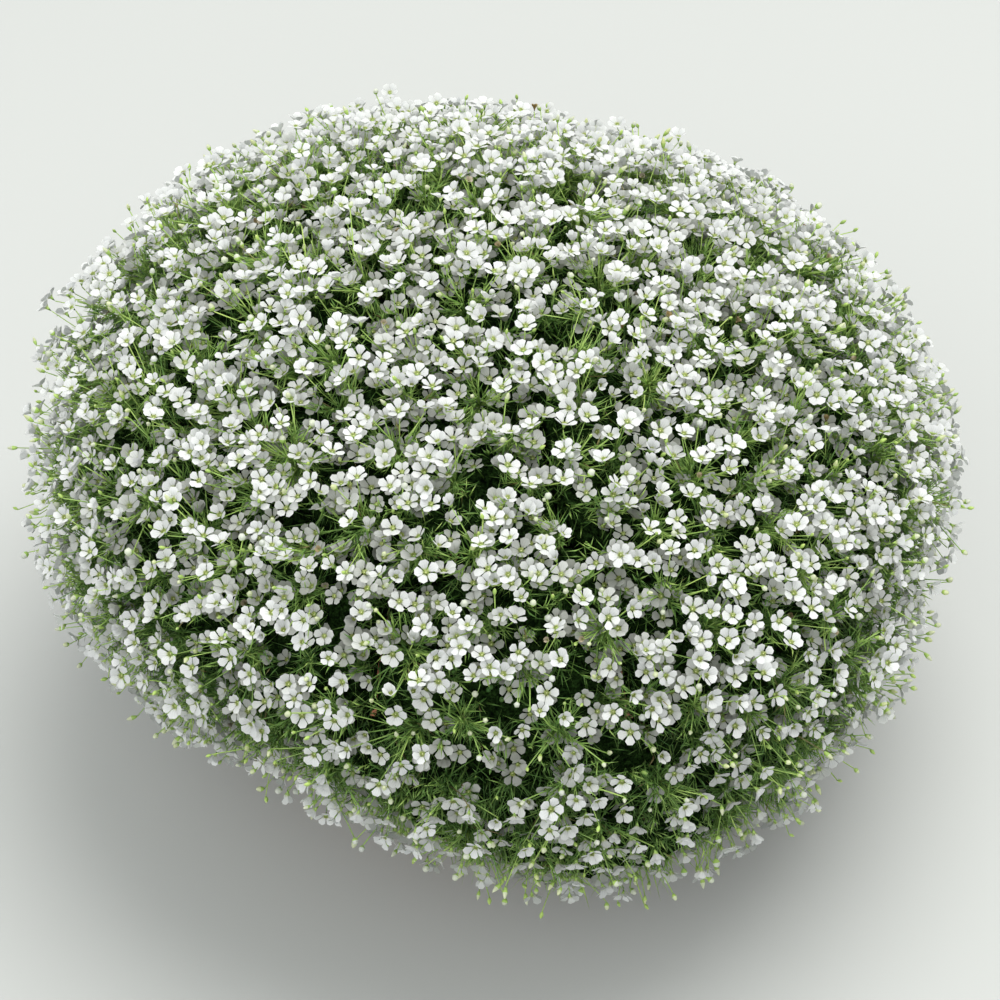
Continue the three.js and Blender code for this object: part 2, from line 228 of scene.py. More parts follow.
@dataclass(frozen=True)
class StemRing:
    """A ring of stems: its angles in degrees, and the radius at which the stems enter the soil."""

    count: int
    polar: float
    azimuth: float
    hole_radius: float = 0.0


@dataclass(frozen=True)
class Cell:
    """The part of the mound that one stem owns: its number and middle, and where the stem enters the soil."""

    number: int
    point: Array
    out: Array
    hole: Array


@dataclass(frozen=True)
class Mound:
    """The mound's surface and how the stems share it."""

    radius: float = 200 * MM
    half_height: float = 142 * MM
    centre: float = 141 * MM
    soil_level: float = 127 * MM
    widest_cell: float = 84 * MM
    swells: tuple[Swell, ...] = (
        Swell(140, 50, 38, 0.05),
        Swell(-70, 122, 24, 0.05),
        Swell(-126, 122, 26, -0.15),
        Swell(10, 40, 30, -0.03),
        Swell(60, 100, 30, 0.04),
        Swell(74, 52, 22, -0.06),
        Swell(158, 72, 20, 0.03),
        Swell(-14, 100, 16, -0.035),
    )
    rings: tuple[StemRing, ...] = (
        StemRing(1, 0, 0, 0),
        StemRing(6, 33, 12, 26 * MM),
        StemRing(10, 71, -90, 50 * MM),
        StemRing(10, 111, -72, 70 * MM),
    )
    skirt_edge: StemRing = StemRing(12, 149, 0)

    @property
    def halves(self) -> Array:
        """Return half the mound's size along each axis, without its swells."""
        return np.array([self.radius, self.radius, self.half_height])

    def direction(self, polar: Array, azimuth: Array) -> Array:
        """Return the unit vectors at angles from the top and round the upright axis."""
        level = np.sin(polar)
        return np.stack([level * np.cos(azimuth), level * np.sin(azimuth), np.cos(polar)], axis=-1)

    def swell_at(self, swell: Swell, ways: Array) -> Array:
        """Work out what a swell adds to the mound.

        Args:
            swell: the swell.
            ways: unit vectors of the sphere that the mound is stretched from.

        Returns:
            What it adds along each, as a share.
        """
        middle = self.direction(math.radians(swell.polar), math.radians(swell.azimuth))
        away = np.arccos(np.clip(ways @ middle, -1.0, 1.0)) / math.radians(swell.spread)
        return swell.share * np.exp(-away * away)

    def surface(self, ways: Array) -> tuple[Array, Array]:
        """Return the surface's points along unit vectors of the sphere, and the way out at each."""
        swelling = 1.0 + sum(self.swell_at(swell, ways) for swell in self.swells)
        return ways * self.halves * swelling[:, None] + self.centre * UP, unit(ways / self.halves)

    def ways_to(self, points: Array) -> Array:
        """Return the sphere's unit vectors that lead to the surface nearest to the points."""
        return unit((points - self.centre * UP) / self.halves)

    def depth(self, points: Array) -> Array:
        """Return how far each point lies inside the surface."""
        surface, out = self.surface(self.ways_to(points))
        return np.sum((surface - points) * out, axis=1)

    def polar(self, points: Array) -> Array:
        """Return the angle of each point from the mound's top, in radians."""
        return np.arccos(np.clip(self.ways_to(points)[:, 2], -1.0, 1.0))

    def cells(self, *more: StemRing) -> list[Cell]:
        """Lay out the stems.

        Args:
            more: further rings, below the mound's own.

        Returns:
            The cells, numbered from one in the order of their rings.
        """
        cells: list[Cell] = []
        for ring in (*self.rings, *more):
            azimuths = math.radians(ring.azimuth) + TURN * np.arange(ring.count) / ring.count
            polar = np.full(ring.count, math.radians(ring.polar))
            for azimuth, point, out in zip(azimuths, *self.surface(self.direction(polar, azimuths))):
                spot = np.array([math.cos(azimuth), math.sin(azimuth), 0.0]) * ring.hole_radius
                cells.append(Cell(len(cells) + 1, point, out, spot + self.soil_level * UP))
        return cells

    def middles(self) -> Array:
        """Return the middles of all the cells, and then of the places under the skirt's edge."""
        return np.array([cell.point for cell in self.cells(self.skirt_edge)])

    def owners(self, points: Array) -> Array:
        """Return the number of the cell that owns each point, or 0 under the skirt's edge."""
        near = np.argmin(np.linalg.norm(points[:, None, :] - self.middles()[None], axis=2), axis=1)
        return np.where(near < sum(ring.count for ring in self.rings), near + 1, 0)

    def reach(self, cell: Cell, ways: Array) -> Array:
        """Measure how far a cell goes.

        Args:
            cell: the cell.
            ways: unit vectors along the surface, one a row.

        Returns:
            The distance from the cell's middle to where another cell begins, along each way.
        """
        apart = self.middles() - cell.point
        apart = apart[np.linalg.norm(apart, axis=1) > WELD]
        share = np.sum(apart * apart, axis=1)[None] / np.maximum(2.0 * (ways @ apart.T), WELD)
        return np.minimum(share.min(axis=1), self.widest_cell)

    def between(self, low: float, high: float, chance: float) -> Rule:
        """Return a rule that gives the chance at points between two angles from the top, in degrees."""
        low, high = math.radians(low), math.radians(high)
        return lambda points: chance * ((self.polar(points) > low) & (self.polar(points) < high))

    def sow(
        self, count: int, spacing: float, depth: Rule, chance: Rule, rng: Random, crowd: int = 14
    ) -> tuple[Array, Array]:
        """Scatter points through the mound's outer layer, each clear of the others.

        Args:
            count: how many points to place at most.
            spacing: the least distance between two of them.
            depth: gives the depths of points of the surface.
            chance: gives the chance that a point of the surface is used.
            rng: the random draws.
            crowd: how many places are tried for each point.

        Returns:
            The points and the way out at each.
        """
        ways = unit(rng.normal(size=(count * crowd, 3)))
        stretch = np.linalg.norm(ways / self.halves, axis=1) * self.half_height
        surface, out = self.surface(ways)
        used = rng.uniform(size=len(ways)) < stretch * chance(surface)
        surface, out = surface[used], out[used]
        points = surface - out * depth(surface)[:, None]
        kept = np.empty((count, 3))
        chosen: list[int] = []
        for i, point in enumerate(points):
            gap = kept[: len(chosen)] - point
            if np.all(np.einsum("ij,ij->i", gap, gap) >= spacing * spacing):
                kept[len(chosen)] = point
                chosen.append(i)
            if len(chosen) == count:
                break
        return points[chosen], out[chosen]


# Small shapes that are repeated


@dataclass
class Shape:
    """A small shape as arrays: its points, edges, faces and corners, ready to be repeated."""

    points: Array
    edges: Array
    sharp: Array
    sizes: Array
    corner_points: Array
    corner_edges: Array
    uv: Array
    parts: Array
    smooth: Array

    @staticmethod
    def of(bm: BMesh) -> "Shape":
        """Read a finished bmesh and free it.

        Args:
            bm: the bmesh. Edges that aren't smooth stay sharp.

        Returns:
            The shape.
        """
        bm.verts.index_update()
        bm.edges.index_update()
        layer = bm.loops.layers.uv.verify()
        loops = [loop for face in bm.faces for loop in face.loops]
        shape = Shape(
            points=np.array([vert.co[:] for vert in bm.verts]),
            edges=np.array([[vert.index for vert in edge.verts] for edge in bm.edges]),
            sharp=np.array([not edge.smooth for edge in bm.edges]),
            sizes=np.array([len(face.loops) for face in bm.faces]),
            corner_points=np.array([loop.vert.index for loop in loops]),
            corner_edges=np.array([loop.edge.index for loop in loops]),
            uv=np.array([loop[layer].uv[:] for loop in loops]),
            parts=np.array([face.material_index for face in bm.faces]),
            smooth=np.array([face.smooth for face in bm.faces]),
        )
        bm.free()
        return shape

    def all_of(self, part: Part) -> "Shape":
        """Return the shape made of one part only."""
        return replace(self, parts=np.full(len(self.sizes), part.value))


def lay_uv(
    bm: BMesh,
    faces: Iterable[bmesh.types.BMFace],
    uv: Callable[[bmesh.types.BMVert], tuple[float, float]],
    part: Part = Part.MAIN,
) -> None:
    """Finish some faces of a shape, which also turn smooth.

    Args:
        bm: the shape's bmesh.
        faces: the faces.
        uv: gives the UV at a corner.
        part: what the faces are made of.
    """
    layer = bm.loops.layers.uv.verify()
    for face in faces:
        face.smooth = True
        face.material_index = part.value
        for loop in face.loops:
            loop[layer].uv = uv(loop.vert)


@dataclass
class Growth:
    """Copies of small shapes that are gathered before they become one piece."""

    points: list[Array] = field(default_factory=list)
    tones: list[Array] = field(default_factory=list)
    copies: list[tuple[Shape, int]] = field(default_factory=list)

    def keep(self, shape: Shape, points: Array, tones: Array) -> None:
        """Add copies of a shape.

        Args:
            shape: the shape.
            points: the points of each copy.
            tones: the tone of each point.
        """
        self.points.append(points.reshape(-1, 3))
        self.tones.append(tones.reshape(-1, 3))
        self.copies.append((shape, len(points)))

    def place(self, shape: Shape, frames: Array, middles: Array, tones: Array) -> None:
        """Add copies of a shape, each turned and moved.

        Args:
            shape: the shape.
            frames: one matrix a copy, which may scale it too.
            middles: where each copy's origin goes.
            tones: one colour row a copy, kept as the copy's tone.
        """
        points = np.einsum("kij,nj->kni", frames, shape.points) + middles[:, None, :]
        self.keep(shape, points, np.repeat(tones[:, None, :], len(shape.points), axis=1))

    def bend(self, shape: Shape, paths: Array, widths: Array, turns: Array, tones: Array) -> None:
        """Add copies of an upright shape of height one, each bent along its own curve.

        Args:
            shape: the shape, with its foot at height 0 and its tip at height 1.
            paths: the four control points of each copy's curve.
            widths: what one unit of the shape's width measures on each copy.
            turns: how far each copy is turned about its curve, in radians.
            tones: the colour rows of each copy's foot and tip.
        """
        share = shape.points[:, 2][None, :, None]
        frames = frames_facing(unit(paths[:, 3] - paths[:, 0]), turns)
        across = np.einsum("kij,nj->kni", frames[:, :, :2], shape.points[:, :2])
        tone = (1.0 - share) * tones[:, 0][:, None, :] + share * tones[:, 1][:, None, :]
        self.keep(shape, along(paths[:, None], share) + across * widths[:, None, None], tone)

    def spread(self, part: str, counted: str = "") -> Array:
        """Repeat one of the arrays of each shape for its copies.

        Args:
            part: the array's name.
            counted: the name of the array that its values count in, or none for plain values.

        Returns:
            The rows of all the copies, in order.
        """
        rows: list[Array] = []
        start = 0
        for shape, count in self.copies:
            block = np.repeat(getattr(shape, part)[None], count, axis=0)
            if counted:
                step = len(getattr(shape, counted))
                block = block + np.reshape(start + step * np.arange(count), (-1,) + (1,) * (block.ndim - 1))
                start += step * count
            rows.append(block.reshape(-1, *block.shape[2:]))
        return np.concatenate(rows)

    def build(self, name: str) -> Piece:
        """Make one object of all the copies.

        Args:
            name: the object's name.

        Returns:
            The object, at the origin.
        """
        points, tones = np.concatenate(self.points), np.concatenate(self.tones)
        edges, sizes = self.spread("edges", "points"), self.spread("sizes")
        corners = self.spread("corner_points", "points")
        mesh = bpy.data.meshes.new(name)
        mesh.vertices.add(len(points))
        mesh.edges.add(len(edges))
        mesh.loops.add(len(corners))
        mesh.polygons.add(len(sizes))
        for rows, key, values in (
            (mesh.vertices, "co", points),
            (mesh.edges, "vertices", edges),
            (mesh.loops, "vertex_index", corners),
            (mesh.loops, "edge_index", self.spread("corner_edges", "edges")),
            (mesh.polygons, "loop_start", np.concatenate([[0], np.cumsum(sizes)[:-1]])),
            (mesh.polygons, "material_index", self.spread("parts")),
            (mesh.polygons, "use_smooth", self.spread("smooth")),
            (mesh.edges, "use_edge_sharp", self.spread("sharp")),
        ):
            rows.foreach_set(key, values.ravel())
        mesh.uv_layers.new(name="UVMap").data.foreach_set("uv", self.spread("uv").ravel())
        colours = np.column_stack([tones, np.ones(len(tones))])
        mesh.attributes.new(TONE, "FLOAT_COLOR", "POINT").data.foreach_set("color", colours.ravel())
        mesh.update()
        return linked(name, mesh)


def linked(name: str, data: bpy.types.ID) -> Piece:
    """Put a new object in the scene.

    Args:
        name: the object's name.
        data: its mesh, light or camera.

    Returns:
        The object, at the origin.
    """
    piece = bpy.data.objects.new(name, data)
    bpy.context.scene.collection.objects.link(piece)
    return piece


@dataclass(frozen=True)
class Rod:
    """An upright rod of height one, which is bent into stems, stalks and leaves.

    Its half width at each height is a share of the copy's width, and flatness squeezes it one way.
    """

    sides: int
    widths: tuple[float, ...]
    flatness: float = 1.0

    def shape(self) -> Shape:
        """Build the rod.

        Returns:
            Its shape, whose UV runs round it and up it.
        """
        bm = bmesh.new()
        tip = 1.0 if self.widths[-1] else 0.0
        bmesh.ops.create_cone(bm, cap_ends=True, segments=self.sides, radius1=1.0, radius2=tip, depth=1.0)
        bmesh.ops.translate(bm, vec=Vector((0.0, 0.0, 0.5)), verts=bm.verts)
        rows = len(self.widths) - 1
        for row in range(1, rows):
            geom = bm.verts[:] + bm.edges[:] + bm.faces[:]
            bmesh.ops.bisect_plane(bm, geom=geom, plane_co=(0, 0, row / rows), plane_no=(0, 0, 1))
        for vert in bm.verts:
            width = float(np.interp(vert.co.z, np.linspace(0.0, 1.0, rows + 1), self.widths))
            flat = vert.co.xy.normalized() * width
            vert.co.xy = (flat.x, flat.y * self.flatness)
        bmesh.ops.remove_doubles(bm, verts=bm.verts, dist=WELD)
        lay_uv(bm, bm.faces, lambda vert: (math.atan2(vert.co.y, vert.co.x) / TURN % 1.0, vert.co.z))
        return Shape.of(bm)


@dataclass(frozen=True)
class PetalForm:
    """A petal: its size, and in degrees how it rises from the throat and at its tip."""

    length: float = 4.5 * MM
    half_width: float = 1.95 * MM
    root_radius: float = 0.55 * MM
    root_depth: float = 0.9 * MM
    rise: float = 55.0
    tip_rise: float = 5.0
    plump: float = 0.22 * MM
    plump_at: float = 0.58
    twist: float = 0.0
    outline: tuple[tuple[float, float], ...] = ((0.0, 0.0), (0.55, 0.36), (1.0, 0.72), (0.5, 0.99))

    def place(self, across: float, share: float, lift: float) -> Vector:
        """Bend a flat petal's point up out of the throat.

        Args:
            across: the distance from the petal's middle line.
            share: the share of its length.
            lift: the height over its sheet.

        Returns:
            The point, for a petal that points along +X of an upright flower.
        """
        start = math.radians(self.rise)
        turn = math.radians(self.tip_rise) - start
        angle = start + turn * share
        reach = self.length * (math.sin(angle) - math.sin(start)) / turn
        height = self.length * (math.cos(start) - math.cos(angle)) / turn
        sway = math.radians(self.twist) * share
        side = across * math.cos(sway) - lift * math.sin(sway)
        over = across * math.sin(sway) + lift * math.cos(sway)
        out = self.root_radius + reach - over * math.sin(angle)
        return Vector((out, side, height - self.root_depth + over * math.cos(angle)))

    def grow(self, bm: BMesh, turn: float) -> None:
        """Add the petal to a flower, as a lens that is closed along its rim.

        Args:
            bm: the flower's bmesh.
            turn: the petal's turn about the flower's axis, in radians.
        """
        right = self.outline[1:]
        rim = [self.outline[0], *right, *((-x, y) for x, y in reversed(right))]
        circle = {"cap_ends": True, "cap_tris": True, "segments": len(rim), "radius": 1.0}
        disc = bmesh.ops.create_circle(bm, **circle)["verts"]
        middle = next(vert for vert in disc if vert.co.length < WELD)
        edge = sorted((v for v in disc if v is not middle), key=lambda v: math.atan2(v.co.y, v.co.x) % TURN)
        rim_edges = [e for e in bm.edges if all(vert in edge for vert in e.verts)]
        bmesh.ops.holes_fill(bm, edges=rim_edges, sides=len(rim))
        for i in range(1, len(rim) // 2):
            under = next(f for f in edge[i].link_faces if edge[-i] in f.verts and middle not in f.verts)
            bmesh.utils.face_split(under, edge[i], edge[-i])
        for e in rim_edges:
            e.smooth = False
        spots = {vert: (x, y, 0.0) for vert, (x, y) in zip(edge, rim)}
        spots[middle] = (0.0, self.plump_at, self.plump)
        faces = {face for vert in disc for face in vert.link_faces}
        lay_uv(bm, faces, lambda vert: (0.5 + 0.5 * spots[vert][0], spots[vert][1]))
        spin = Matrix.Rotation(turn, 3, "Z")
        for vert, (x, y, lift) in spots.items():
            vert.co = spin @ self.place(x * self.half_width, y, lift)


@dataclass(frozen=True)
class FlowerForm:
    """A five-petalled flower on its green calyx: how far it opens, and how uneven its petals are."""

    rise: float
    tip_rise: float
    broadness: float = 1.0
    petals: int = 5
    uneven_length: float = 0.05
    uneven_width: float = 0.06
    uneven_rise: float = 5.0
    uneven_tip: float = 9.0
    uneven_twist: float = 14.0
    uneven_turn: float = 0.07
    least_curl: float = 12.0
    calyx_length: float = 3.0 * MM
    calyx_mouth: float = 1.0 * MM
    throat_depth: float = 0.8 * MM
    base: PetalForm = PetalForm()

    def shape(self, rng: Random) -> Shape:
        """Make one flower that faces +Z, its throat at the origin.

        Args:
            rng: the random draws for its uneven petals.

        Returns:
            The flower's shape.
        """
        bm = bmesh.new()
        for i in range(self.petals):
            wild = rng.normal(size=5)
            petal = replace(
                self.base,
                length=self.base.length * (1.0 + self.uneven_length * wild[0]),
                half_width=self.base.half_width * (self.broadness + self.uneven_width * wild[1]),
                rise=self.rise + self.uneven_rise * wild[2],
                tip_rise=min(self.tip_rise + self.uneven_tip * wild[3], self.rise - self.least_curl),
                twist=self.uneven_twist * wild[4],
            )
            petal.grow(bm, TURN * i / self.petals + self.uneven_turn * rng.normal())
        self.grow_calyx(bm)
        bmesh.ops.recalc_face_normals(bm, faces=bm.faces)
        return Shape.of(bm)

    def grow_calyx(self, bm: BMesh) -> None:
        """Add the calyx, a cone on its tip with a hollow throat, whose corners stand between the petals.

        Args:
            bm: the flower's bmesh.
        """
        mouth, length = self.calyx_mouth, self.calyx_length
        cone = {"segments": self.petals, "radius1": mouth, "radius2": 0.0, "depth": length}
        tube = bmesh.ops.create_cone(bm, cap_ends=True, cap_tris=True, **cone)["verts"]
        bmesh.ops.rotate(bm, matrix=Matrix.Rotation(math.pi, 3, "X"), verts=tube)
        bmesh.ops.translate(bm, vec=Vector((0.0, 0.0, -0.5 * length)), verts=tube)
        tooth = max(tube, key=lambda vert: (vert.co.z, vert.co.xy.length))
        turn = TURN / (2 * self.petals) - math.atan2(tooth.co.y, tooth.co.x)
        bmesh.ops.rotate(bm, matrix=Matrix.Rotation(turn, 3, "Z"), verts=tube)
        faces = {face for vert in tube for face in vert.link_faces}
        throat = {face for face in faces if all(vert.co.z > -WELD for vert in face.verts)}
        lay_uv(bm, throat, lambda vert: (0.5, vert.co.xy.length / mouth), Part.INNER)
        lay_uv(bm, faces - throat, lambda vert: (0.5, 1.0 + vert.co.z / length), Part.OTHER)
        min(tube, key=lambda vert: vert.co.xy.length - vert.co.z).co.z -= self.throat_depth


class Openness(Enum):
    """How far a flower is open: the rise of its petals at root and tip in degrees, and how broad they are."""

    FLAT = (52.0, 2.0, 0.96)
    OPEN = (56.0, 14.0, 0.95)
    CUPPED = (64.0, 32.0, 0.84)
    HALF_OPEN = (76.0, 54.0, 0.80)

    def forms(self, count: int, spread: tuple[float, float], rng: Random) -> list[Shape]:
        """Make some flowers of this openness.

        Args:
            count: how many.
            spread: the narrowest and the broadest petals, as shares of the usual ones.
            rng: the random draws.

        Returns:
            Their shapes.
        """
        rise, tip_rise, broadness = self.value
        return [FlowerForm(rise, tip_rise, broadness * rng.uniform(*spread)).shape(rng) for _ in range(count)]


@dataclass(frozen=True)
class BudForm:
    """A closed bud, a bead on a small calyx: its size, how cream it is and its share of the buds."""

    radius: float
    length: float
    calyx_share: float
    point: float
    cream: float
    share: float
    sides: int = 5
    rings: int = 4
    slim_below: float = -0.1
    calyx_slimness: float = 0.86

    def shape(self) -> Shape:
        """Build the bud, green at its foot.

        Returns:
            Its shape, which points along +Z with its foot at the origin.
        """
        bm = bmesh.new()
        bmesh.ops.create_uvsphere(bm, u_segments=self.sides, v_segments=self.rings, radius=1.0)
        for vert in bm.verts:
            pointed = 1.0 - self.point * max(vert.co.z, 0.0)
            width = self.radius * (self.calyx_slimness if vert.co.z < self.slim_below else pointed)
            vert.co = Vector((vert.co.x * width, vert.co.y * width, 0.5 * (vert.co.z + 1.0) * self.length))
        lay_uv(bm, bm.faces, lambda vert: (0.5, 0.5 + 0.5 * vert.co.z / self.length))
        for face in bm.faces:
            pale = face.calc_center_median().z >= self.calyx_share * self.length
            face.material_index = (Part.OTHER if pale else Part.MAIN).value
        return Shape.of(bm)


def ball(subdivisions: int) -> Shape:
    """Make a ball of radius one.

    Args:
        subdivisions: how finely it is cut into triangles.

    Returns:
        Its shape.
    """
    bm = bmesh.new()
    bmesh.ops.create_icosphere(bm, subdivisions=subdivisions, radius=1.0)
    lay_uv(bm, bm.faces, lambda vert: (0.0, 0.0))
    return Shape.of(bm)


# The plant


@dataclass(frozen=True)
class Layer:
    """How one kind of growth is sown.

    Depths are under the mound's surface, and the lowest and highest places are in degrees from its top. The
    lean is a tangent. A crowd is how many places are tried for each point, and chance the share that is used.
    """

    count: int
    spacing: float
    shallow: float
    deep: float
    lowest: float
    lean: float
    chance: float = 1.0
    highest: float = -1.0
    crowd: int = 14


@dataclass(frozen=True)
class Fan:
    """A fan of leaves: how many, their share of the usual length and how far they open, as a tangent."""

    leaves: int
    length: float
    opening: float
    wide_middle: bool = False


@dataclass(frozen=True)
class LeafForm:
    """A thread-thin leaf, how it bends, and how unlike the leaves of a fan are."""

    length: float = 8.5 * MM
    half_width: float = 0.44 * MM
    flatness: float = 0.42
    openings: tuple[float, float] = (0.5, 1.5)
    feet: tuple[float, float] = (-0.1, 0.55)
    lengths: tuple[float, float] = (0.6, 1.3)
    widths: tuple[float, float] = (0.75, 1.2)
    outward: float = 0.5
    curl: float = 0.8
    bow: float = 0.4


@dataclass(frozen=True)
class Shade:
    """The tones of green growth: painted shade inside the mound, painted light where it faces up, fresher
    near its surface, and now and then dry.
    """

    # Painted shade: how deep under the surface it reaches, and the share of brightness it takes away there.
    painted_shade_reach: float = 46 * MM
    painted_shade_loss: float = 0.7
    # Painted light from above: the brightness where the surface is steep, and what a surface facing straight
    # up adds to it.
    flank: float = 0.92
    top: float = 0.3
    leaf_spread: float = 0.16
    stem_spread: float = 0.1
    limits: tuple[float, float] = (0.4, 1.6)
    fresh_reach: float = 16 * MM
    yellow: float = 0.2
    fresh_yellow: float = 0.5
    yellow_spread: float = 0.25
    dry_share: float = 0.012
    dryness: float = 0.8


@dataclass(frozen=True)
class Stems:
    """The main stems of a head and the branches that leave them: how many, how wide and how they bend."""

    count: int = 3
    half_width: float = 1.1 * MM
    foot_spread: float = 2.0 * MM
    buried: float = 12 * MM
    top_spread: float = 9 * MM
    top_lean: float = 1.0
    bow: float = 0.42
    top_bow: float = 0.8
    splay: float = 0.12
    outward: float = 0.1
    upward: float = 0.4
    brightness: float = 0.4
    woodiness: float = 0.45
    branch_half_width: float = 0.55 * MM
    branch_feet: tuple[float, float] = (0.05, 0.25)
    branch_bow: float = 0.4


@dataclass(frozen=True)
class Heart:
    """The dark middle of a head: a lumpy pad as wide as the head's cell, coloured as painted shade, with
    spikes all over it.
    """

    depth: float = 40 * MM
    skirt_depth: float = 16 * MM
    skirt_from: float = 100.0
    skirt_span: float = 28.0
    half_height: float = 7 * MM
    fullness: float = 0.6
    lumps: float = 0.25
    lump_size: float = 22 * MM
    gap: float = 0.6 * MM
    spikes: int = 500
    upright: float = 1.6
    below: float = 0.14
    lean: float = 1.1
    lengths: tuple[float, float] = (7 * MM, 17 * MM)
    widths: tuple[float, float] = (0.9, 1.5)
    bow: float = 0.33


@dataclass(frozen=True)
class Forks:
    """The forks from which the stalks grow, with fans of leaves round each."""

    layer: Layer = Layer(850, 17 * MM, 20.25 * MM, 32.4 * MM, 142.0, 0.6)
    depth: float = 27 * MM
    fans: int = 3
    jitter: float = 2.6 * MM
    fan: Fan = Fan(7, 1.2, 1.1)


@dataclass(frozen=True)
class Stalks:
    """The stalks between the forks and whatever stands on them, each with a few leaves half way up."""

    half_width: float = 0.28 * MM
    widths: tuple[float, float] = (0.85, 1.15)
    lean: float = 0.25
    bow: float = 0.36
    fan: Fan = Fan(4, 0.9, 0.9)
    fan_at: float = 0.5


@dataclass(frozen=True)
class Flowers:
    """How the open flowers stand: in soft clumps near the surface, fewer below it and lower down, and darker
    below it by painted shade.
    """

    layer: Layer = Layer(5600, 4.9 * MM, -1 * MM, 24 * MM, 129.0, 0.42, crowd=50)
    forms: int = 6
    broadness: tuple[float, float] = (0.88, 1.1)
    openness: tuple[float, ...] = (0.24, 0.37, 0.29, 0.10)
    scales: tuple[float, float] = (0.86, 1.1)
    crowding: float = 1.3
    strays: float = 0.025
    stray_height: float = 5 * MM
    relief: float = 1.6 * MM
    most_relief: float = 3.0
    relief_field: Ripples = Ripples(60 * MM, 4)
    clump_field: Ripples = Ripples(34 * MM, 3)
    density: float = 0.8
    clumping: float = 0.3
    least_density: float = 0.35
    flank: float = 0.6
    sparse_from: float = 60.0
    sparse_span: float = 34.0
    sparseness: float = 0.3
    bare_patch: Swell = Swell(-92, 75, 9, 0.75)
    lift: float = 1.9
    droop: float = 0.7
    spent: float = 0.012
    spent_scale: float = 0.5
    spent_dryness: tuple[float, float] = (0.5, 1.0)
    unevenness: float = 0.05
    least_bright: float = 0.8
    # Painted shade: how much darker flowers are coloured below the surface, from what depth, and over what
    # span.
    painted_shade_share: float = 0.34
    painted_shade_from: float = 4 * MM
    painted_shade_span: float = 16 * MM
    # Painted shade too: deep flowers are tinted towards the petals' cream-green.
    cream: float = 0.06

    def depth(self, surface: Array, rng: Random) -> Array:
        """Draw how deep flowers stand.

        Args:
            surface: the points of the surface over them.
            rng: the random draws.

        Returns:
            Their depths.
        """
        share = rng.uniform(size=len(surface)) ** self.crowding
        stray = np.where(rng.uniform(size=len(surface)) < self.strays, self.stray_height, 0.0)
        relief = self.relief * (1.0 + self.relief_field.at(surface)).clip(0.0, self.most_relief)
        return (self.layer.deep - self.layer.shallow) * share + self.layer.shallow - stray + relief

    def chance(self, mound: Mound, surface: Array) -> Array:
        """Work out how likely flowers are.

        Args:
            mound: the mound.
            surface: points of its surface.

        Returns:
            The chance of a flower at each point.
        """
        polar = mound.polar(surface)
        clumps = np.clip(self.density + self.clumping * self.clump_field.at(surface), self.least_density, 1.0)
        flank = self.flank + (1.0 - self.flank) * np.cos(polar)
        low = np.clip((np.degrees(polar) - self.sparse_from) / self.sparse_span, 0.0, 1.0)
        bare = mound.swell_at(self.bare_patch, mound.ways_to(surface))
        within = polar < math.radians(self.layer.lowest)
        return within * (clumps * flank * (1.0 - self.sparseness * low) * (1.0 - bare))


@dataclass(frozen=True)
class Buds:
    """How the buds stand, and their kinds from white beads to small green ones."""

    layer: Layer = Layer(1500, 5 * MM, -4.5 * MM, 13.5 * MM, 133.0, 0.55, 0.9)
    lift: float = 0.3
    scales: tuple[float, float] = (0.85, 1.15)
    brightness: tuple[float, float] = (0.85, 1.0)
    cream_spread: float = 0.12
    forms: tuple[BudForm, ...] = (
        BudForm(1.45 * MM, 3.4 * MM, 0.34, 0.0, 0.1, 0.16, sides=6),
        BudForm(1.15 * MM, 3.4 * MM, 0.5, 0.2, 0.4, 0.26),
        BudForm(1.0 * MM, 4.8 * MM, 0.6, 0.45, 0.5, 0.28),
        BudForm(0.8 * MM, 3.0 * MM, 0.9, 0.4, 0.9, 0.30),
    )


@dataclass(frozen=True)
class Greenery:
    """The leafy shoots between the flowers, and the leaves on the inner side of the skirt."""

    shoots: Layer = Layer(2600, 5.5 * MM, 11 * MM, 25 * MM, 140.0, 0.6, 0.9, crowd=30)
    shoot_fans: tuple[tuple[float, Fan], ...] = ((0.74, Fan(3, 0.9, 0.75)), (1.0, Fan(5, 0.9, 0.75, True)))
    inner: Layer = Layer(600, 11 * MM, 45 * MM, 52 * MM, 141.0, 0.4, highest=80.0)
    inner_fan: Fan = Fan(7, 1.3, 0.9)


@dataclass
class Spray:
    """What stands on one kind of stalk: its place, the way it faces, its cell and the fork it grows from."""

    ends: Array
    ways: Array
    owners: Array
    forks: Array


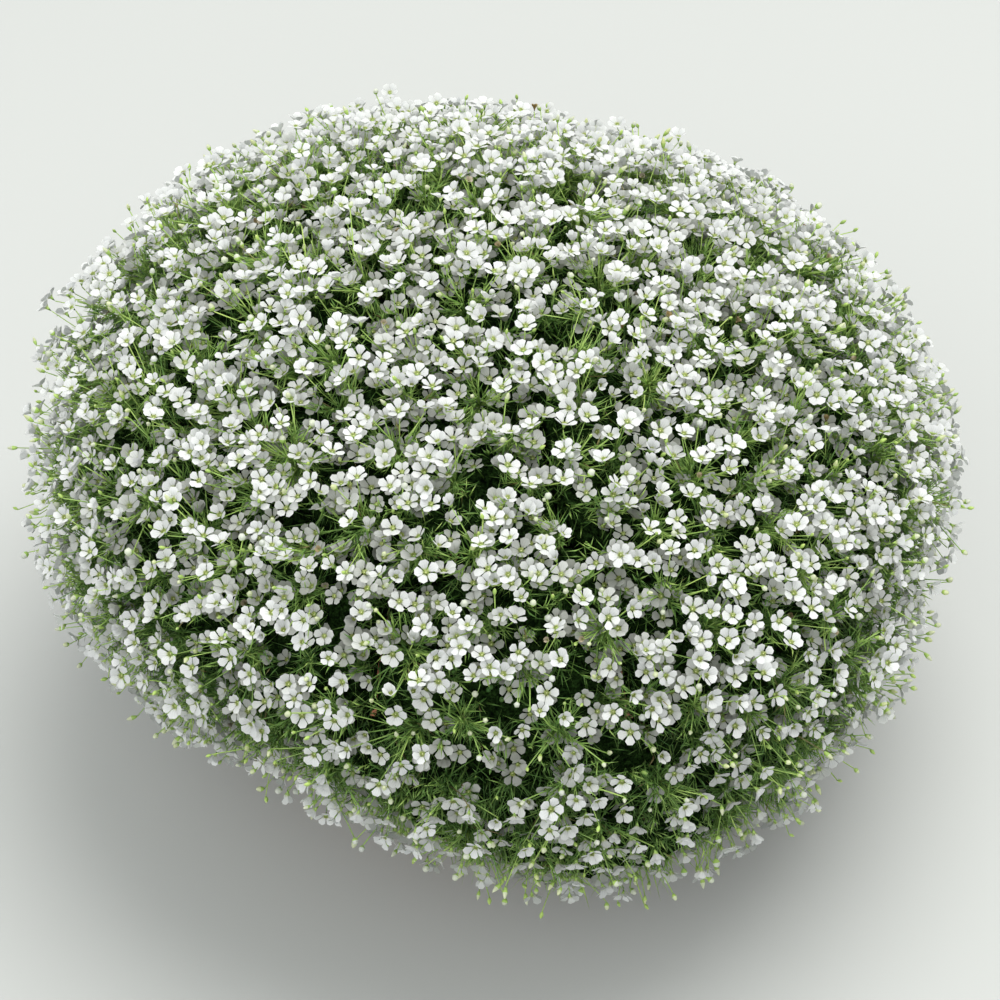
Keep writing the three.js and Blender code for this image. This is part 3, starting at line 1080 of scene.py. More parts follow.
@dataclass
class Plant:
    """The whole plant, grown once and then cut into the cells of its stems."""

    mound: Mound = Mound()
    leaf: LeafForm = LeafForm()
    shade: Shade = Shade()
    stems: Stems = Stems()
    heart: Heart = Heart()
    forks: Forks = Forks()
    stalks: Stalks = Stalks()
    flowers: Flowers = Flowers()
    buds: Buds = Buds()
    greenery: Greenery = Greenery()
    seed: int = 7

    def __post_init__(self) -> None:
        """Make the small shapes."""
        self.rng = np.random.default_rng(self.seed)
        self.cells = self.mound.cells()
        self.twig = Rod(sides=3, widths=(1.15, 1.0, 0.85)).shape()
        self.branch = Rod(sides=3, widths=(1.1, 0.9, 0.8, 0.7)).shape()
        self.stem = Rod(sides=7, widths=(1.2, 1.0, 0.97, 0.94, 0.9, 0.87, 0.84, 0.8)).shape()
        self.lens = Rod(sides=3, widths=(0.0, 1.0, 0.0), flatness=self.leaf.flatness).shape()
        self.spike = Rod(sides=3, widths=(1.0, 0.0), flatness=self.leaf.flatness).shape()
        self.pad = ball(subdivisions=3).all_of(Part.INNER)
        forms, broadness = self.flowers.forms, self.flowers.broadness
        self.bloom = [openness.forms(forms, broadness, self.rng) for openness in Openness]

    def grow(self) -> list[tuple[Cell, Growth, Growth]]:
        """Grow the plant.

        Returns:
            Each cell with its foliage and its flowers.
        """
        self.foliage = [Growth() for _ in self.cells]
        self.flowering = [Growth() for _ in self.cells]
        self.grow_forks()
        self.grow_heads()
        self.grow_inner_leaves()
        self.grow_flowers()
        self.grow_buds()
        self.grow_shoots()
        return list(zip(self.cells, self.foliage, self.flowering))

    def dress(self, piece: Piece, *materials: bpy.types.Material) -> None:
        """Give a piece of the plant its materials, in the order of its parts."""
        for material in materials:
            piece.data.materials.append(material)

    def sow(self, layer: Layer, depth: Rule | None = None, chance: Rule | None = None) -> tuple[Array, Array]:
        """Scatter a layer's points.

        Args:
            layer: the layer.
            depth: gives the depth at points of the surface, if it isn't an even spread.
            chance: gives the chance at points of the surface, if it isn't the same everywhere.

        Returns:
            The points and the way out at each.
        """
        depth = depth or (lambda surface: self.rng.uniform(layer.shallow, layer.deep, len(surface)))
        chance = chance or self.mound.between(layer.highest, layer.lowest, layer.chance)
        return self.mound.sow(layer.count, layer.spacing, depth, chance, self.rng, layer.crowd)

    def turns(self, count: int) -> Array:
        """Return random turns."""
        return self.rng.uniform(0.0, TURN, count)

    def tones(self, feet: Array, tips: Array, spread: float) -> Array:
        """Give each leaf or stalk its tones, with painted shade that darkens it the deeper it is in the mound
        and painted light where the surface faces up.

        Args:
            feet: where they start.
            tips: where they end.
            spread: how unlike they are in brightness.

        Returns:
            Two colour rows each: brightness, yellowness and dryness at the foot and at the tip.
        """
        shade, rng, count = self.shade, self.rng, len(feet)
        own = np.clip(1.0 + spread * rng.normal(size=count), *shade.limits)
        fresh = np.clip(1.0 - self.mound.depth(tips) / shade.fresh_reach, 0.0, 1.0)
        yellow = shade.yellow + shade.fresh_yellow * fresh + shade.yellow_spread * rng.normal(size=count)
        dry = np.where(rng.uniform(size=count) < shade.dry_share, shade.dryness, 0.0)
        ends: list[Array] = []
        for points in (feet, tips):
            surface, out = self.mound.surface(self.mound.ways_to(points))
            # Painted shade and light: darker the deeper the point lies, lighter where the surface over it
            # faces up.
            deep = np.clip(np.sum((surface - points) * out, axis=1) / shade.painted_shade_reach, 0.0, 1.0)
            light = (1.0 - shade.painted_shade_loss * deep) * (shade.flank + shade.top * np.clip(out[:, 2], 0.0, 1.0))
            ends.append(np.stack([light * own, np.clip(yellow, 0.0, 1.0), dry], axis=1))
        return np.stack(ends, axis=1)

    def share_out(self, growths: list[Growth], owners: Array) -> Iterable[tuple[Growth, Array]]:
        """Return each cell's growth with the indices of what the cell owns."""
        return ((growths[cell.number - 1], np.flatnonzero(owners == cell.number)) for cell in self.cells)

    def bend_all(self, shape: Shape, paths: Array, widths: Array, tones: Array, owners: Array) -> None:
        """Bend copies of a shape into the foliage of the cells that own them.

        Args:
            shape: the shape.
            paths: the control points of each copy's curve.
            widths: the half width of each copy.
            tones: the tones of each copy's foot and tip.
            owners: the number of each copy's cell.
        """
        turns = self.turns(len(paths))
        for growth, own in self.share_out(self.foliage, owners):
            growth.bend(shape, paths[own], widths[own], turns[own], tones[own])

    def grow_leaves(self, nodes: Array, ways: Array, owners: Array, fan: Fan) -> None:
        """Grow a fan of leaves at each node.

        Args:
            nodes: where the fans stand.
            ways: the way that each fan faces.
            owners: the number of each fan's cell.
            fan: what the fans are like.
        """
        leaf, rng, length = self.leaf, self.rng, fan.length * self.leaf.length
        feet, outs = (np.repeat(rows, fan.leaves, axis=0) for rows in (nodes, ways))
        count = len(feet)
        aim = leaned(outs, fan.opening * rng.uniform(*leaf.openings, count), rng)
        feet = feet - outs * (length * rng.uniform(*leaf.feet, (count, 1)))
        tips = feet + aim * (length * rng.uniform(*leaf.lengths, count))[:, None]
        ends = leaned(aim, leaf.curl, rng)
        paths = stalk_paths(feet, unit(aim + leaf.outward * outs), tips, ends, leaf.bow)
        widths = leaf.half_width * rng.uniform(*leaf.widths, count)
        tones = self.tones(feet, tips, self.shade.leaf_spread)
        shape = self.lens if fan.wide_middle else self.spike
        self.bend_all(shape, paths, widths, tones, np.repeat(owners, fan.leaves))

    def grow_forks(self) -> None:
        """Set the forks from which the stalks grow, deep in the mound, with fans of leaves round them."""
        forks = self.forks
        points, outs = self.sow(forks.layer)
        owners = self.mound.owners(points + outs * forks.depth)
        kept = owners > 0
        self.fork_points, self.fork_outs, self.fork_owners = points[kept], outs[kept], owners[kept]
        kept_forks = (self.fork_points, self.fork_outs, self.fork_owners)
        nodes, ways, owners = (np.repeat(rows, forks.fans, axis=0) for rows in kept_forks)
        nodes = nodes + self.rng.normal(size=nodes.shape) * forks.jitter
        self.grow_leaves(nodes, leaned(ways, forks.layer.lean, self.rng), owners, forks.fan)

    def grow_heads(self) -> None:
        """Grow the stems out of the soil, the branches from them to the forks and the heart of each head."""
        stems = self.stems
        for growth, cell in zip(self.foliage, self.cells):
            centre = cell.point - cell.out * self.heart.depth
            own = np.flatnonzero(self.fork_owners == cell.number)
            self.grow_stems(growth, cell, centre)
            ends = self.fork_points[own]
            feet = centre + (ends - centre) * self.rng.uniform(*stems.branch_feet, (len(own), 1))
            paths = stalk_paths(feet, unit(ends - feet), ends, self.fork_outs[own], stems.branch_bow)
            tones = self.tones(feet, ends, self.shade.stem_spread)
            widths = np.full(len(own), stems.branch_half_width)
            growth.bend(self.branch, paths, widths, self.turns(len(own)), tones)
            self.grow_heart(growth, cell)

    def grow_stems(self, growth: Growth, cell: Cell, centre: Array) -> None:
        """Grow a cell's main stems.

        Args:
            growth: the cell's foliage.
            cell: the cell.
            centre: the middle of its head, where the stems arrive.
        """
        stems, count = self.stems, self.stems.count
        turns = TURN * np.arange(count) / count + self.rng.uniform(0, TURN)
        ring = np.stack([np.cos(turns), np.sin(turns), np.zeros(count)], axis=1)
        feet = cell.hole + ring * stems.foot_spread - UP * stems.buried
        outs = np.repeat(cell.out[None], count, axis=0)
        ends = centre + leaned(outs, stems.top_lean, self.rng) * stems.top_spread
        climb = np.linalg.norm(ends - feet, axis=1, keepdims=True) * stems.bow
        rise = unit(UP + stems.splay * ring + stems.outward * unit(cell.hole * (1, 1, 0) + WELD))
        arrive = unit(cell.out + stems.upward * UP)
        paths = np.stack([feet, feet + rise * climb, ends - arrive * climb * stems.top_bow, ends], axis=1)
        tones = self.tones(feet, ends, self.shade.stem_spread)
        tones[:, :, 0] = stems.brightness
        tones[:, 0, 2] = stems.woodiness
        growth.bend(self.stem, paths, np.full(count, stems.half_width), turns, tones)

    def grow_heart(self, growth: Growth, cell: Cell) -> None:
        """Fill the middle of a head with dark, dense growth that the eye can't see through: a pad coloured as
        painted shade, and spikes.

        Args:
            growth: the cell's foliage.
            cell: the cell.
        """
        heart, rng, count = self.heart, self.rng, self.heart.spikes
        points, _ = self.on_heart(cell, self.pad.points)
        growth.keep(self.pad, points[None], np.zeros((1, len(points), 3)))
        ways = unit(rng.normal(size=(count, 3)) * (1.0, 1.0, heart.upright))
        ways[:, 2] = np.abs(ways[:, 2]) * np.where(rng.uniform(size=count) < heart.below, -1.0, 1.0)
        feet, outs = self.on_heart(cell, ways)
        aim = leaned(np.sign(ways[:, 2:3]) * outs, heart.lean, rng)
        tips = feet + aim * rng.uniform(*heart.lengths, (count, 1))
        widths = self.leaf.half_width * rng.uniform(*heart.widths, count)
        tones = self.tones(feet, tips, self.shade.leaf_spread)
        paths = stalk_paths(feet, aim, tips, aim, heart.bow)
        growth.bend(self.spike, paths, widths, self.turns(count), tones)

    def on_heart(self, cell: Cell, ways: Array) -> tuple[Array, Array]:
        """Find the surface of a cell's heart, a thick pad that follows the mound out to where the cell ends.

        Args:
            cell: the cell.
            ways: unit vectors of the ball that the heart is made from, with +Z out of the mound.

        Returns:
            The points of the heart and the way out of the mound at each.
        """
        heart = self.heart
        axes = frames_facing(cell.out[None], np.zeros(1))[0]
        level = np.linalg.norm(ways[:, :2], axis=1, keepdims=True)
        aside = ways[:, :2] @ axes[:, :2].T / np.maximum(level, WELD)
        rim = self.mound.reach(cell, aside)[:, None] - heart.gap
        spots = cell.point + aside * rim * level**heart.fullness
        surface, out = self.mound.surface(self.mound.ways_to(spots))
        height = np.sign(ways[:, 2:3]) * np.abs(ways[:, 2:3]) ** heart.fullness * heart.half_height
        lumps = Ripples(heart.lump_size, cell.number).at(surface)[:, None]
        low = (np.degrees(self.mound.polar(surface)) - heart.skirt_from) / heart.skirt_span
        depth = heart.depth + (heart.skirt_depth - heart.depth) * np.clip(low, 0.0, 1.0)[:, None]
        return surface - out * (depth - height * (1.0 + heart.lumps * lumps)), out

    def grow_inner_leaves(self) -> None:
        """Grow the leaves on the inner side of the skirt, which shows from below."""
        layer = self.greenery.inner
        points, outs = self.sow(layer)
        owners = self.mound.owners(points + outs * self.mound.depth(points)[:, None])
        kept = owners > 0
        ways = leaned(-outs[kept], layer.lean, self.rng)
        self.grow_leaves(points[kept], ways, owners[kept], self.greenery.inner_fan)

    def spray(self, points: Array, outs: Array, ways: Array, lean: float) -> Spray:
        """Keep what lies over a cell, lean it aside, and find the nearest fork of the same cell for each.

        Args:
            points: where the ends of the stalks are.
            outs: the way out of the mound at each.
            ways: the way that each end faces before it leans.
            lean: how far they lean, as a tangent.

        Returns:
            The spray.
        """
        ways = leaned(ways, lean, self.rng)
        owners = self.mound.owners(points + outs * self.mound.depth(points)[:, None])
        kept = owners > 0
        points, ways, owners = points[kept], ways[kept], owners[kept]
        apart = np.linalg.norm(points[:, None] - self.fork_points[None], axis=2)
        apart += np.where(owners[:, None] == self.fork_owners[None], 0.0, FAR)
        return Spray(points, ways, owners, np.argmin(apart, axis=1))

    def grow_stalks(self, spray: Spray, ends: Array) -> Array:
        """Grow the stalks of a spray, with a few small leaves half way up each.

        Args:
            spray: the spray.
            ends: where the stalks end.

        Returns:
            The paths of the stalks.
        """
        stalks = self.stalks
        feet = self.fork_points[spray.forks]
        outs = leaned(self.fork_outs[spray.forks], stalks.lean, self.rng)
        paths = stalk_paths(feet, outs, ends, spray.ways, stalks.bow)
        widths = stalks.half_width * self.rng.uniform(*stalks.widths, len(feet))
        tones = self.tones(feet, ends, self.shade.stem_spread)
        self.bend_all(self.twig, paths, widths, tones, spray.owners)
        ways = unit(paths[:, 2] - paths[:, 1])
        self.grow_leaves(along(paths, stalks.fan_at), ways, spray.owners, stalks.fan)
        return paths

    def grow_flowers(self) -> None:
        """Grow the open flowers and, among them, a few spent ones."""
        flowers, rng, mound = self.flowers, self.rng, self.mound
        points, outs = self.sow(
            flowers.layer,
            lambda surface: flowers.depth(surface, rng),
            lambda surface: flowers.chance(mound, surface),
        )
        steep = outs[:, 2:3]
        lift = np.where(steep > 0.0, flowers.lift * steep * steep, flowers.droop * steep)
        spray = self.spray(points, outs, unit(outs + lift * UP), flowers.layer.lean)
        count = len(spray.ends)
        kinds = rng.choice(len(self.bloom), count, p=flowers.openness)
        forms = rng.integers(0, flowers.forms, count)
        scale = rng.uniform(*flowers.scales, count)
        spent = rng.uniform(size=count) < flowers.spent
        kinds[spent] = len(self.bloom) - 1
        scale[spent] *= flowers.spent_scale
        frames = frames_facing(spray.ways, self.turns(count)) * scale[:, None, None]
        dry = np.where(spent, rng.uniform(*flowers.spent_dryness, count), 0.0)
        bright = np.clip(1.0 - flowers.unevenness * np.abs(rng.normal(size=count)), flowers.least_bright, 1.0)
        # Painted shade: the deeper a flower stands, the darker and greener its petals are coloured.
        deep = np.clip((mound.depth(spray.ends) - flowers.painted_shade_from) / flowers.painted_shade_span, 0.0, 1.0)
        painted_shade_bright = bright * (1.0 - flowers.painted_shade_share * deep)
        tones = np.stack([painted_shade_bright, CREAM_FROM + flowers.cream * deep, dry], axis=1)
        for growth, own in self.share_out(self.flowering, spray.owners):
            for kind, shapes in enumerate(self.bloom):
                for form, shape in enumerate(shapes):
                    pick = own[(kinds[own] == kind) & (forms[own] == form)]
                    growth.place(shape, frames[pick], spray.ends[pick], tones[pick])
        self.grow_stalks(spray, spray.ends - spray.ways * (FlowerForm.calyx_length * scale)[:, None])

    def grow_buds(self) -> None:
        """Grow the buds: white beads near the surface, and smaller green ones."""
        buds, rng = self.buds, self.rng
        points, outs = self.sow(buds.layer)
        spray = self.spray(points, outs, unit(outs + buds.lift * UP), buds.layer.lean)
        count = len(spray.ends)
        kinds = rng.choice(len(buds.forms), count, p=[form.share for form in buds.forms])
        scale = rng.uniform(*buds.scales, count)
        frames = frames_facing(spray.ways, self.turns(count)) * scale[:, None, None]
        cream = np.array([form.cream for form in buds.forms])[kinds]
        cream = cream + rng.normal(size=count) * buds.cream_spread
        yellow = CREAM_FROM + (1.0 - CREAM_FROM) * cream.clip(0.0, 1.0)
        tones = np.stack([rng.uniform(*buds.brightness, count), yellow, np.zeros(count)], axis=1)
        shapes = [form.shape() for form in buds.forms]
        for growth, own in self.share_out(self.foliage, spray.owners):
            for kind, shape in enumerate(shapes):
                pick = own[kinds[own] == kind]
                growth.place(shape, frames[pick], spray.ends[pick], tones[pick])
        self.grow_stalks(spray, spray.ends)

    def grow_shoots(self) -> None:
        """Grow the leafy shoots that fill the mound between the flowers."""
        points, outs = self.sow(self.greenery.shoots)
        spray = self.spray(points, outs, outs, self.greenery.shoots.lean)
        paths = self.grow_stalks(spray, spray.ends)
        for share, fan in self.greenery.shoot_fans:
            self.grow_leaves(along(paths, share), spray.ways, spray.owners, fan)


# Finishes


@dataclass
class Wiring:
    """A node tree that is being wired."""

    tree: bpy.types.NodeTree

    def add(
        self, kind: str, inputs: dict[str | int, object] | None = None, **settings: object
    ) -> bpy.types.Node:
        """Add a node.

        Args:
            kind: the node's type, without the words ShaderNode.
            inputs: a value, a colour or another node's output for each named or numbered input.
            settings: the node's own properties.

        Returns:
            The node.
        """
        node = self.tree.nodes.new(kind if kind.startswith("Node") else "ShaderNode" + kind)
        for name, value in settings.items():
            setattr(node, name, value)
        for name, value in (inputs or {}).items():
            if isinstance(value, Socket):
                self.tree.links.new(value, node.inputs[name])
            else:
                node.inputs[name].default_value = (*value, 1.0) if isinstance(value, tuple) else value
        return node

    def math(self, operation: str, *values: object) -> Socket:
        """Return the result of a sum on one to three values."""
        return self.add("Math", dict(enumerate(values)), operation=operation).outputs[0]

    def mix(self, factor: object, first: object, second: object, blend: str = "MIX") -> Socket:
        """Return a mix of two colours."""
        inputs = {0: factor, 6: first, 7: second}
        return self.add("Mix", inputs, data_type="RGBA", blend_type=blend).outputs[2]

    def span(self, value: object, low: float, high: float, start: float = 0.0, end: float = 1.0) -> Socket:
        """Return a value of one span at its place in another."""
        spans = {"From Min": low, "From Max": high, "To Min": start, "To Max": end}
        return self.add("MapRange", {"Value": value, **spans}).outputs[0]

    def ramp(self, value: object, *stops: tuple[float, Colour]) -> Socket:
        """Colour a value.

        Args:
            value: where on the ramp.
            stops: the ramp's places and their colours.

        Returns:
            The colour.
        """
        node = self.add("ValToRGB", {0: value})
        elements = node.color_ramp.elements
        while len(elements) < len(stops):
            elements.new(0.5)
        for element, (place, colour) in zip(elements, stops):
            element.position = place
            element.color = (*colour, 1.0)
        return node.outputs[0]

    def noise(self, vector: Socket, scale: Socket, detail: float, roughness: float = 0.5) -> Socket:
        """Return a noise's value."""
        inputs = {"Vector": vector, "Scale": scale, "Detail": detail, "Roughness": roughness}
        return self.add("TexNoise", inputs).outputs[0]


def shared_group(
    name: str, inputs: dict[str, str], outputs: dict[str, str]
) -> tuple[Wiring, bpy.types.NodeOutputs]:
    """Start a shader node group.

    Args:
        name: the group's name.
        inputs: the kind of each input's socket.
        outputs: the kind of each output's socket.

    Returns:
        The group's wiring, and its inputs' sockets.
    """
    wiring = Wiring(bpy.data.node_groups.new(name, "ShaderNodeTree"))
    for way, sockets in (("INPUT", inputs), ("OUTPUT", outputs)):
        for socket, kind in sockets.items():
            wiring.tree.interface.new_socket(socket, in_out=way, socket_type="NodeSocket" + kind)
    return wiring, wiring.add("NodeGroupInput").outputs


def mottle_group() -> bpy.types.NodeTree:
    """Build the group that wanders between two colours over the surface.

    Returns:
        The group, with a Color and a Value output.
    """
    inputs = {"Vector": "Vector", "Scale": "Float", "Low": "Color", "High": "Color"}
    wiring, given = shared_group("mottle", inputs, {"Color": "Color", "Value": "Float"})
    noise = wiring.noise(given["Vector"], given["Scale"], detail=2.0, roughness=0.6)
    value = wiring.span(noise, low=0.3, high=0.7)
    wiring.add("NodeGroupOutput", {"Color": wiring.mix(value, given["Low"], given["High"]), "Value": value})
    return wiring.tree


def grain_group() -> bpy.types.NodeTree:
    """Build the group that gives a surface its grain, as a height.

    Returns:
        The group, with a Height output.
    """
    inputs = {"Vector": "Vector", "Fine": "Float", "Coarse": "Float"}
    wiring, given = shared_group("grain", inputs, {"Height": "Float"})
    fine = wiring.noise(given["Vector"], given["Fine"], detail=3.0)
    coarse = wiring.noise(given["Vector"], given["Coarse"], detail=2.0)
    fine_share = 0.35
    wiring.add("NodeGroupOutput", {"Height": wiring.math("MULTIPLY_ADD", fine, fine_share, coarse)})
    return wiring.tree


@dataclass
class Palette:
    """The groups that the finishes share."""

    mottle: bpy.types.NodeTree = field(default_factory=mottle_group)
    grain: bpy.types.NodeTree = field(default_factory=grain_group)


class Coat(Wiring):
    """The wiring of one material, which starts with an empty node tree."""

    def __init__(self, name: str, palette: Palette) -> None:
        """Start the material.

        Args:
            name: its name.
            palette: the groups that it may use.
        """
        self.palette = palette
        self.material = bpy.data.materials.new(name)
        self.material.use_nodes = True
        self.material.node_tree.nodes.clear()
        super().__init__(self.material.node_tree)

    def coordinates(self, kind: str) -> list[Socket]:
        """Return the three parts of the Object or the UV coordinates."""
        return list(self.add("SeparateXYZ", {0: self.add("TexCoord").outputs[kind]}).outputs)

    def tone(self) -> list[Socket]:
        """Return the tone's brightness, which holds painted light and shade as well as random tone, and its
        yellowness and dryness.
        """
        tone = self.add("Attribute", attribute_name=TONE).outputs["Color"]
        return list(self.add("SeparateColor", {0: tone}).outputs)

    def mottled(self, scale: float, low: Colour, high: Colour) -> tuple[Socket, Socket]:
        """Wander between two colours over the object.

        Args:
            scale: how fine the mottle is, in waves a metre.
            low: the first colour.
            high: the second colour.

        Returns:
            The colour and the value.
        """
        place = self.add("TexCoord").outputs["Object"]
        inputs = {"Vector": place, "Scale": scale, "Low": low, "High": high}
        outputs = self.add("Group", inputs, node_tree=self.palette.mottle).outputs
        return outputs["Color"], outputs["Value"]

    def patched(self, body: Socket, scale: float, low: Colour, high: Colour) -> Socket:
        """Return a colour with patches that are darker and lighter."""
        return self.mix(1.0, body, self.mottled(scale, low, high)[0], "MULTIPLY")

    def grained(self, fine: float, coarse: float) -> Socket:
        """Return the height of the grain, at two scales in waves a metre."""
        inputs = {"Vector": self.add("TexCoord").outputs["Object"], "Fine": fine, "Coarse": coarse}
        return self.add("Group", inputs, node_tree=self.palette.grain).outputs["Height"]

    def bump(self, height: Socket, strength: float, distance: float) -> Socket:
        """Return the normal of a bumpy surface."""
        inputs = {"Height": height, "Strength": strength, "Distance": distance}
        return self.add("Bump", inputs).outputs[0]

    def end(self, glow: Socket | None = None, share: float = 0.0, **skin: object) -> bpy.types.Material:
        """End the material.

        Args:
            glow: the colour of the light that a thin leaf or petal lets through, if it does.
            share: how much of the light it lets through.
            skin: the inputs of the Principled shader, with underscores for spaces.

        Returns:
            The material.
        """
        inputs = {name.replace("_", " "): value for name, value in skin.items()}
        surface = self.add("BsdfPrincipled", inputs).outputs[0]
        if glow is not None:
            through = self.add("BsdfTranslucent", {"Color": glow}).outputs[0]
            surface = self.add("MixShader", {0: share, 1: surface, 2: through}).outputs[0]
        self.add("OutputMaterial", {"Surface": surface})
        return self.material


@dataclass(frozen=True)
class PetalFinish:
    """The white of petals and buds, yellow-green towards the throat, with faint veins; flowers deep in the
    mound get painted shade through their tone.
    """

    throat: Colour = (0.36, 0.42, 0.10)
    near_throat: Colour = (0.62, 0.67, 0.36)
    white: Colour = (0.79, 0.80, 0.79)
    throat_ends: float = 0.13
    white_starts: float = 0.33
    vein: Colour = (0.50, 0.54, 0.50)
    veins: float = 4.5
    vein_sharpness: float = 5.0
    vein_depth: float = 0.5
    veins_fade: tuple[float, float] = (0.2, 0.95)
    groove: float = 0.1 * MM
    groove_strength: float = 0.25
    patches: float = 95.0
    patch: Colour = (0.93, 0.93, 0.95)
    cream: Colour = (0.66, 0.72, 0.26)
    dry: Colour = (0.40, 0.30, 0.12)
    share_through: float = 0.5
    roughness: float = 0.5

    def build(self, palette: Palette) -> bpy.types.Material:
        """Wire the material.

        Args:
            palette: the shared groups.

        Returns:
            The material.
        """
        coat = Coat("petal white", palette)
        across, up, _ = coat.coordinates("UV")
        bright, yellow, dry = coat.tone()
        throat = ((0.0, self.throat), (self.throat_ends, self.near_throat))
        body = coat.ramp(up, *throat, (self.white_starts, self.white), (1.0, self.white))
        wave = coat.math("COSINE", coat.math("MULTIPLY", across, TURN * self.veins))
        line = coat.math("POWER", coat.math("MULTIPLY_ADD", wave, 0.5, 0.5), self.vein_sharpness)
        veins = coat.math("MULTIPLY", line, coat.span(up, *self.veins_fade, 1.0, 0.0))
        body = coat.mix(coat.math("MULTIPLY", veins, self.vein_depth), body, self.vein)
        body = coat.patched(body, self.patches, self.patch, WHITE)
        # Cream: the buds' own colour, and a painted greenish shade on deep flowers.
        body = coat.mix(coat.span(yellow, CREAM_FROM, 1.0), body, self.cream)
        body = coat.mix(dry, body, self.dry)
        # The brightness darkens the petals: random unevenness, and painted shade on flowers deep in the
        # mound.
        grey = coat.add("CombineColor", {0: bright, 1: bright, 2: bright}).outputs[0]
        body = coat.mix(1.0, body, grey, "MULTIPLY")
        normal = coat.bump(coat.math("SUBTRACT", 1.0, veins), self.groove_strength, self.groove)
        return coat.end(body, self.share_through, Base_Color=body, Roughness=self.roughness, Normal=normal)


@dataclass(frozen=True)
class ThroatFinish:
    """The yellow-green throat of a flower, pale in its middle."""

    middle: Colour = (0.50, 0.54, 0.20)
    ring: Colour = (0.10, 0.15, 0.025)
    mouth: Colour = (0.28, 0.34, 0.07)
    middle_ends: float = 0.22
    ring_at: float = 0.4
    mouth_starts: float = 0.85
    patches: float = 400.0
    patch: Colour = (0.8, 0.8, 0.8)
    roughness: float = 0.5

    def build(self, palette: Palette) -> bpy.types.Material:
        """Wire the material.

        Args:
            palette: the shared groups.

        Returns:
            The material.
        """
        coat = Coat("throat green", palette)
        inside = ((0.0, self.middle), (self.middle_ends, self.middle), (self.ring_at, self.ring))
        outside = ((self.mouth_starts, self.mouth), (1.0, self.mouth))
        body = coat.ramp(coat.coordinates("UV")[1], *inside, *outside)
        body = coat.patched(body, self.patches, self.patch, WHITE)
        return coat.end(Base_Color=body, Roughness=self.roughness)


@dataclass(frozen=True)
class LeafFinish:
    """The green of leaves, stalks and calyxes, in painted light and shade: bright at the surface, nearly
    black deep inside.
    """

    # The ramp from deep to bright is painted shade and painted light, read off the tone's brightness.
    deep: Colour = (0.014, 0.038, 0.010)
    shaded: Colour = (0.062, 0.165, 0.036)
    shaded_at: float = 0.35
    lit: Colour = (0.17, 0.345, 0.075)
    lit_at: float = 0.75
    bright: Colour = (0.34, 0.53, 0.13)
    yellow: Colour = (0.56, 0.66, 0.20)
    yellow_share: float = 0.6
    dry: Colour = (0.25, 0.16, 0.08)
    patches: float = 160.0
    dark_patch: Colour = (0.72, 0.78, 0.72)
    light_patch: Colour = (1.1, 1.08, 1.05)
    ridges: float = 3.0
    ridge: float = 0.05 * MM
    ridge_strength: float = 0.3
    through: Colour = (1.0, 1.25, 0.5)
    share_through: float = 0.3
    roughness: float = 0.5

    def build(self, palette: Palette) -> bpy.types.Material:
        """Wire the material.

        Args:
            palette: the shared groups.

        Returns:
            The material.
        """
        coat = Coat("leaf green", palette)
        bright, yellow, dry = coat.tone()
        dark = ((0.0, self.deep), (self.shaded_at, self.shaded))
        body = coat.ramp(bright, *dark, (self.lit_at, self.lit), (1.0, self.bright))
        # The fresh yellow shows more where the painted light is brighter.
        fresh = coat.math("MULTIPLY", coat.math("MULTIPLY", yellow, bright), self.yellow_share)
        body = coat.mix(fresh, body, self.yellow)
        body = coat.mix(dry, body, self.dry)
        body = coat.patched(body, self.patches, self.dark_patch, self.light_patch)
        ridge = coat.math("COSINE", coat.math("MULTIPLY", coat.coordinates("UV")[0], self.ridges * TURN))
        glow = coat.mix(1.0, body, self.through, "MULTIPLY")
        normal = coat.bump(ridge, self.ridge_strength, self.ridge)
        return coat.end(glow, self.share_through, Base_Color=body, Roughness=self.roughness, Normal=normal)


@dataclass(frozen=True)
class CrumbFinish:
    """A dull crumbly surface: two colours that wander, specks that darken and lighten them, and its grain."""

    name: str
    low: Colour
    high: Colour
    patches: float
    specks: float = 900.0
    speck_low: float = 0.6
    speck_high: float = 1.3
    fine: float = 1500.0
    coarse: float = 350.0
    strength: float = 0.9
    relief: float = 1.2 * MM
    roughness: float = 0.95
    shine: float = 0.5

    def build(self, palette: Palette) -> bpy.types.Material:
        """Wire the material.

        Args:
            palette: the shared groups.

        Returns:
            The material.
        """
        coat = Coat(self.name, palette)
        body, _ = coat.mottled(self.patches, self.low, self.high)
        body = coat.patched(body, self.specks, (self.speck_low,) * 3, (self.speck_high,) * 3)
        skin = {"Roughness": self.roughness, "Specular_IOR_Level": self.shine}
        normal = coat.bump(coat.grained(self.fine, self.coarse), self.strength, self.relief)
        return coat.end(Base_Color=body, Normal=normal, **skin)


@dataclass(frozen=True)
class PaintedShadeFinish(CrumbFinish):
    """Painted shade: the nearly black green of the pad deep inside a head, which stands for the shadowed
    growth there.
    """

    name: str = "painted shade green"
    low: Colour = (0.001, 0.002, 0.001)
    high: Colour = (0.018, 0.042, 0.010)
    patches: float = 380.0
    specks: float = 1100.0
    speck_low: float = 0.1
    speck_high: float = 1.6
    fine: float = 900.0
    coarse: float = 300.0
    strength: float = 1.0
    relief: float = 2.0 * MM
    roughness: float = 1.0
    shine: float = 0.0


@dataclass(frozen=True)
class PeatFinish(CrumbFinish):
    """Dark crumbly potting soil."""

    name: str = "potting soil"
    low: Colour = (0.012, 0.008, 0.005)
    high: Colour = (0.060, 0.038, 0.022)
    patches: float = 150.0


@dataclass(frozen=True)
class GritFinish:
    """Puffed white grains that keep the soil open."""

    low: Colour = (0.55, 0.53, 0.48)
    high: Colour = (0.85, 0.84, 0.80)
    patches: float = 500.0
    roughness: float = 0.9

    def build(self, palette: Palette) -> bpy.types.Material:
        """Wire the material.

        Args:
            palette: the shared groups.

        Returns:
            The material.
        """
        coat = Coat("white grit", palette)
        body, _ = coat.mottled(self.patches, self.low, self.high)
        return coat.end(Base_Color=body, Roughness=self.roughness)


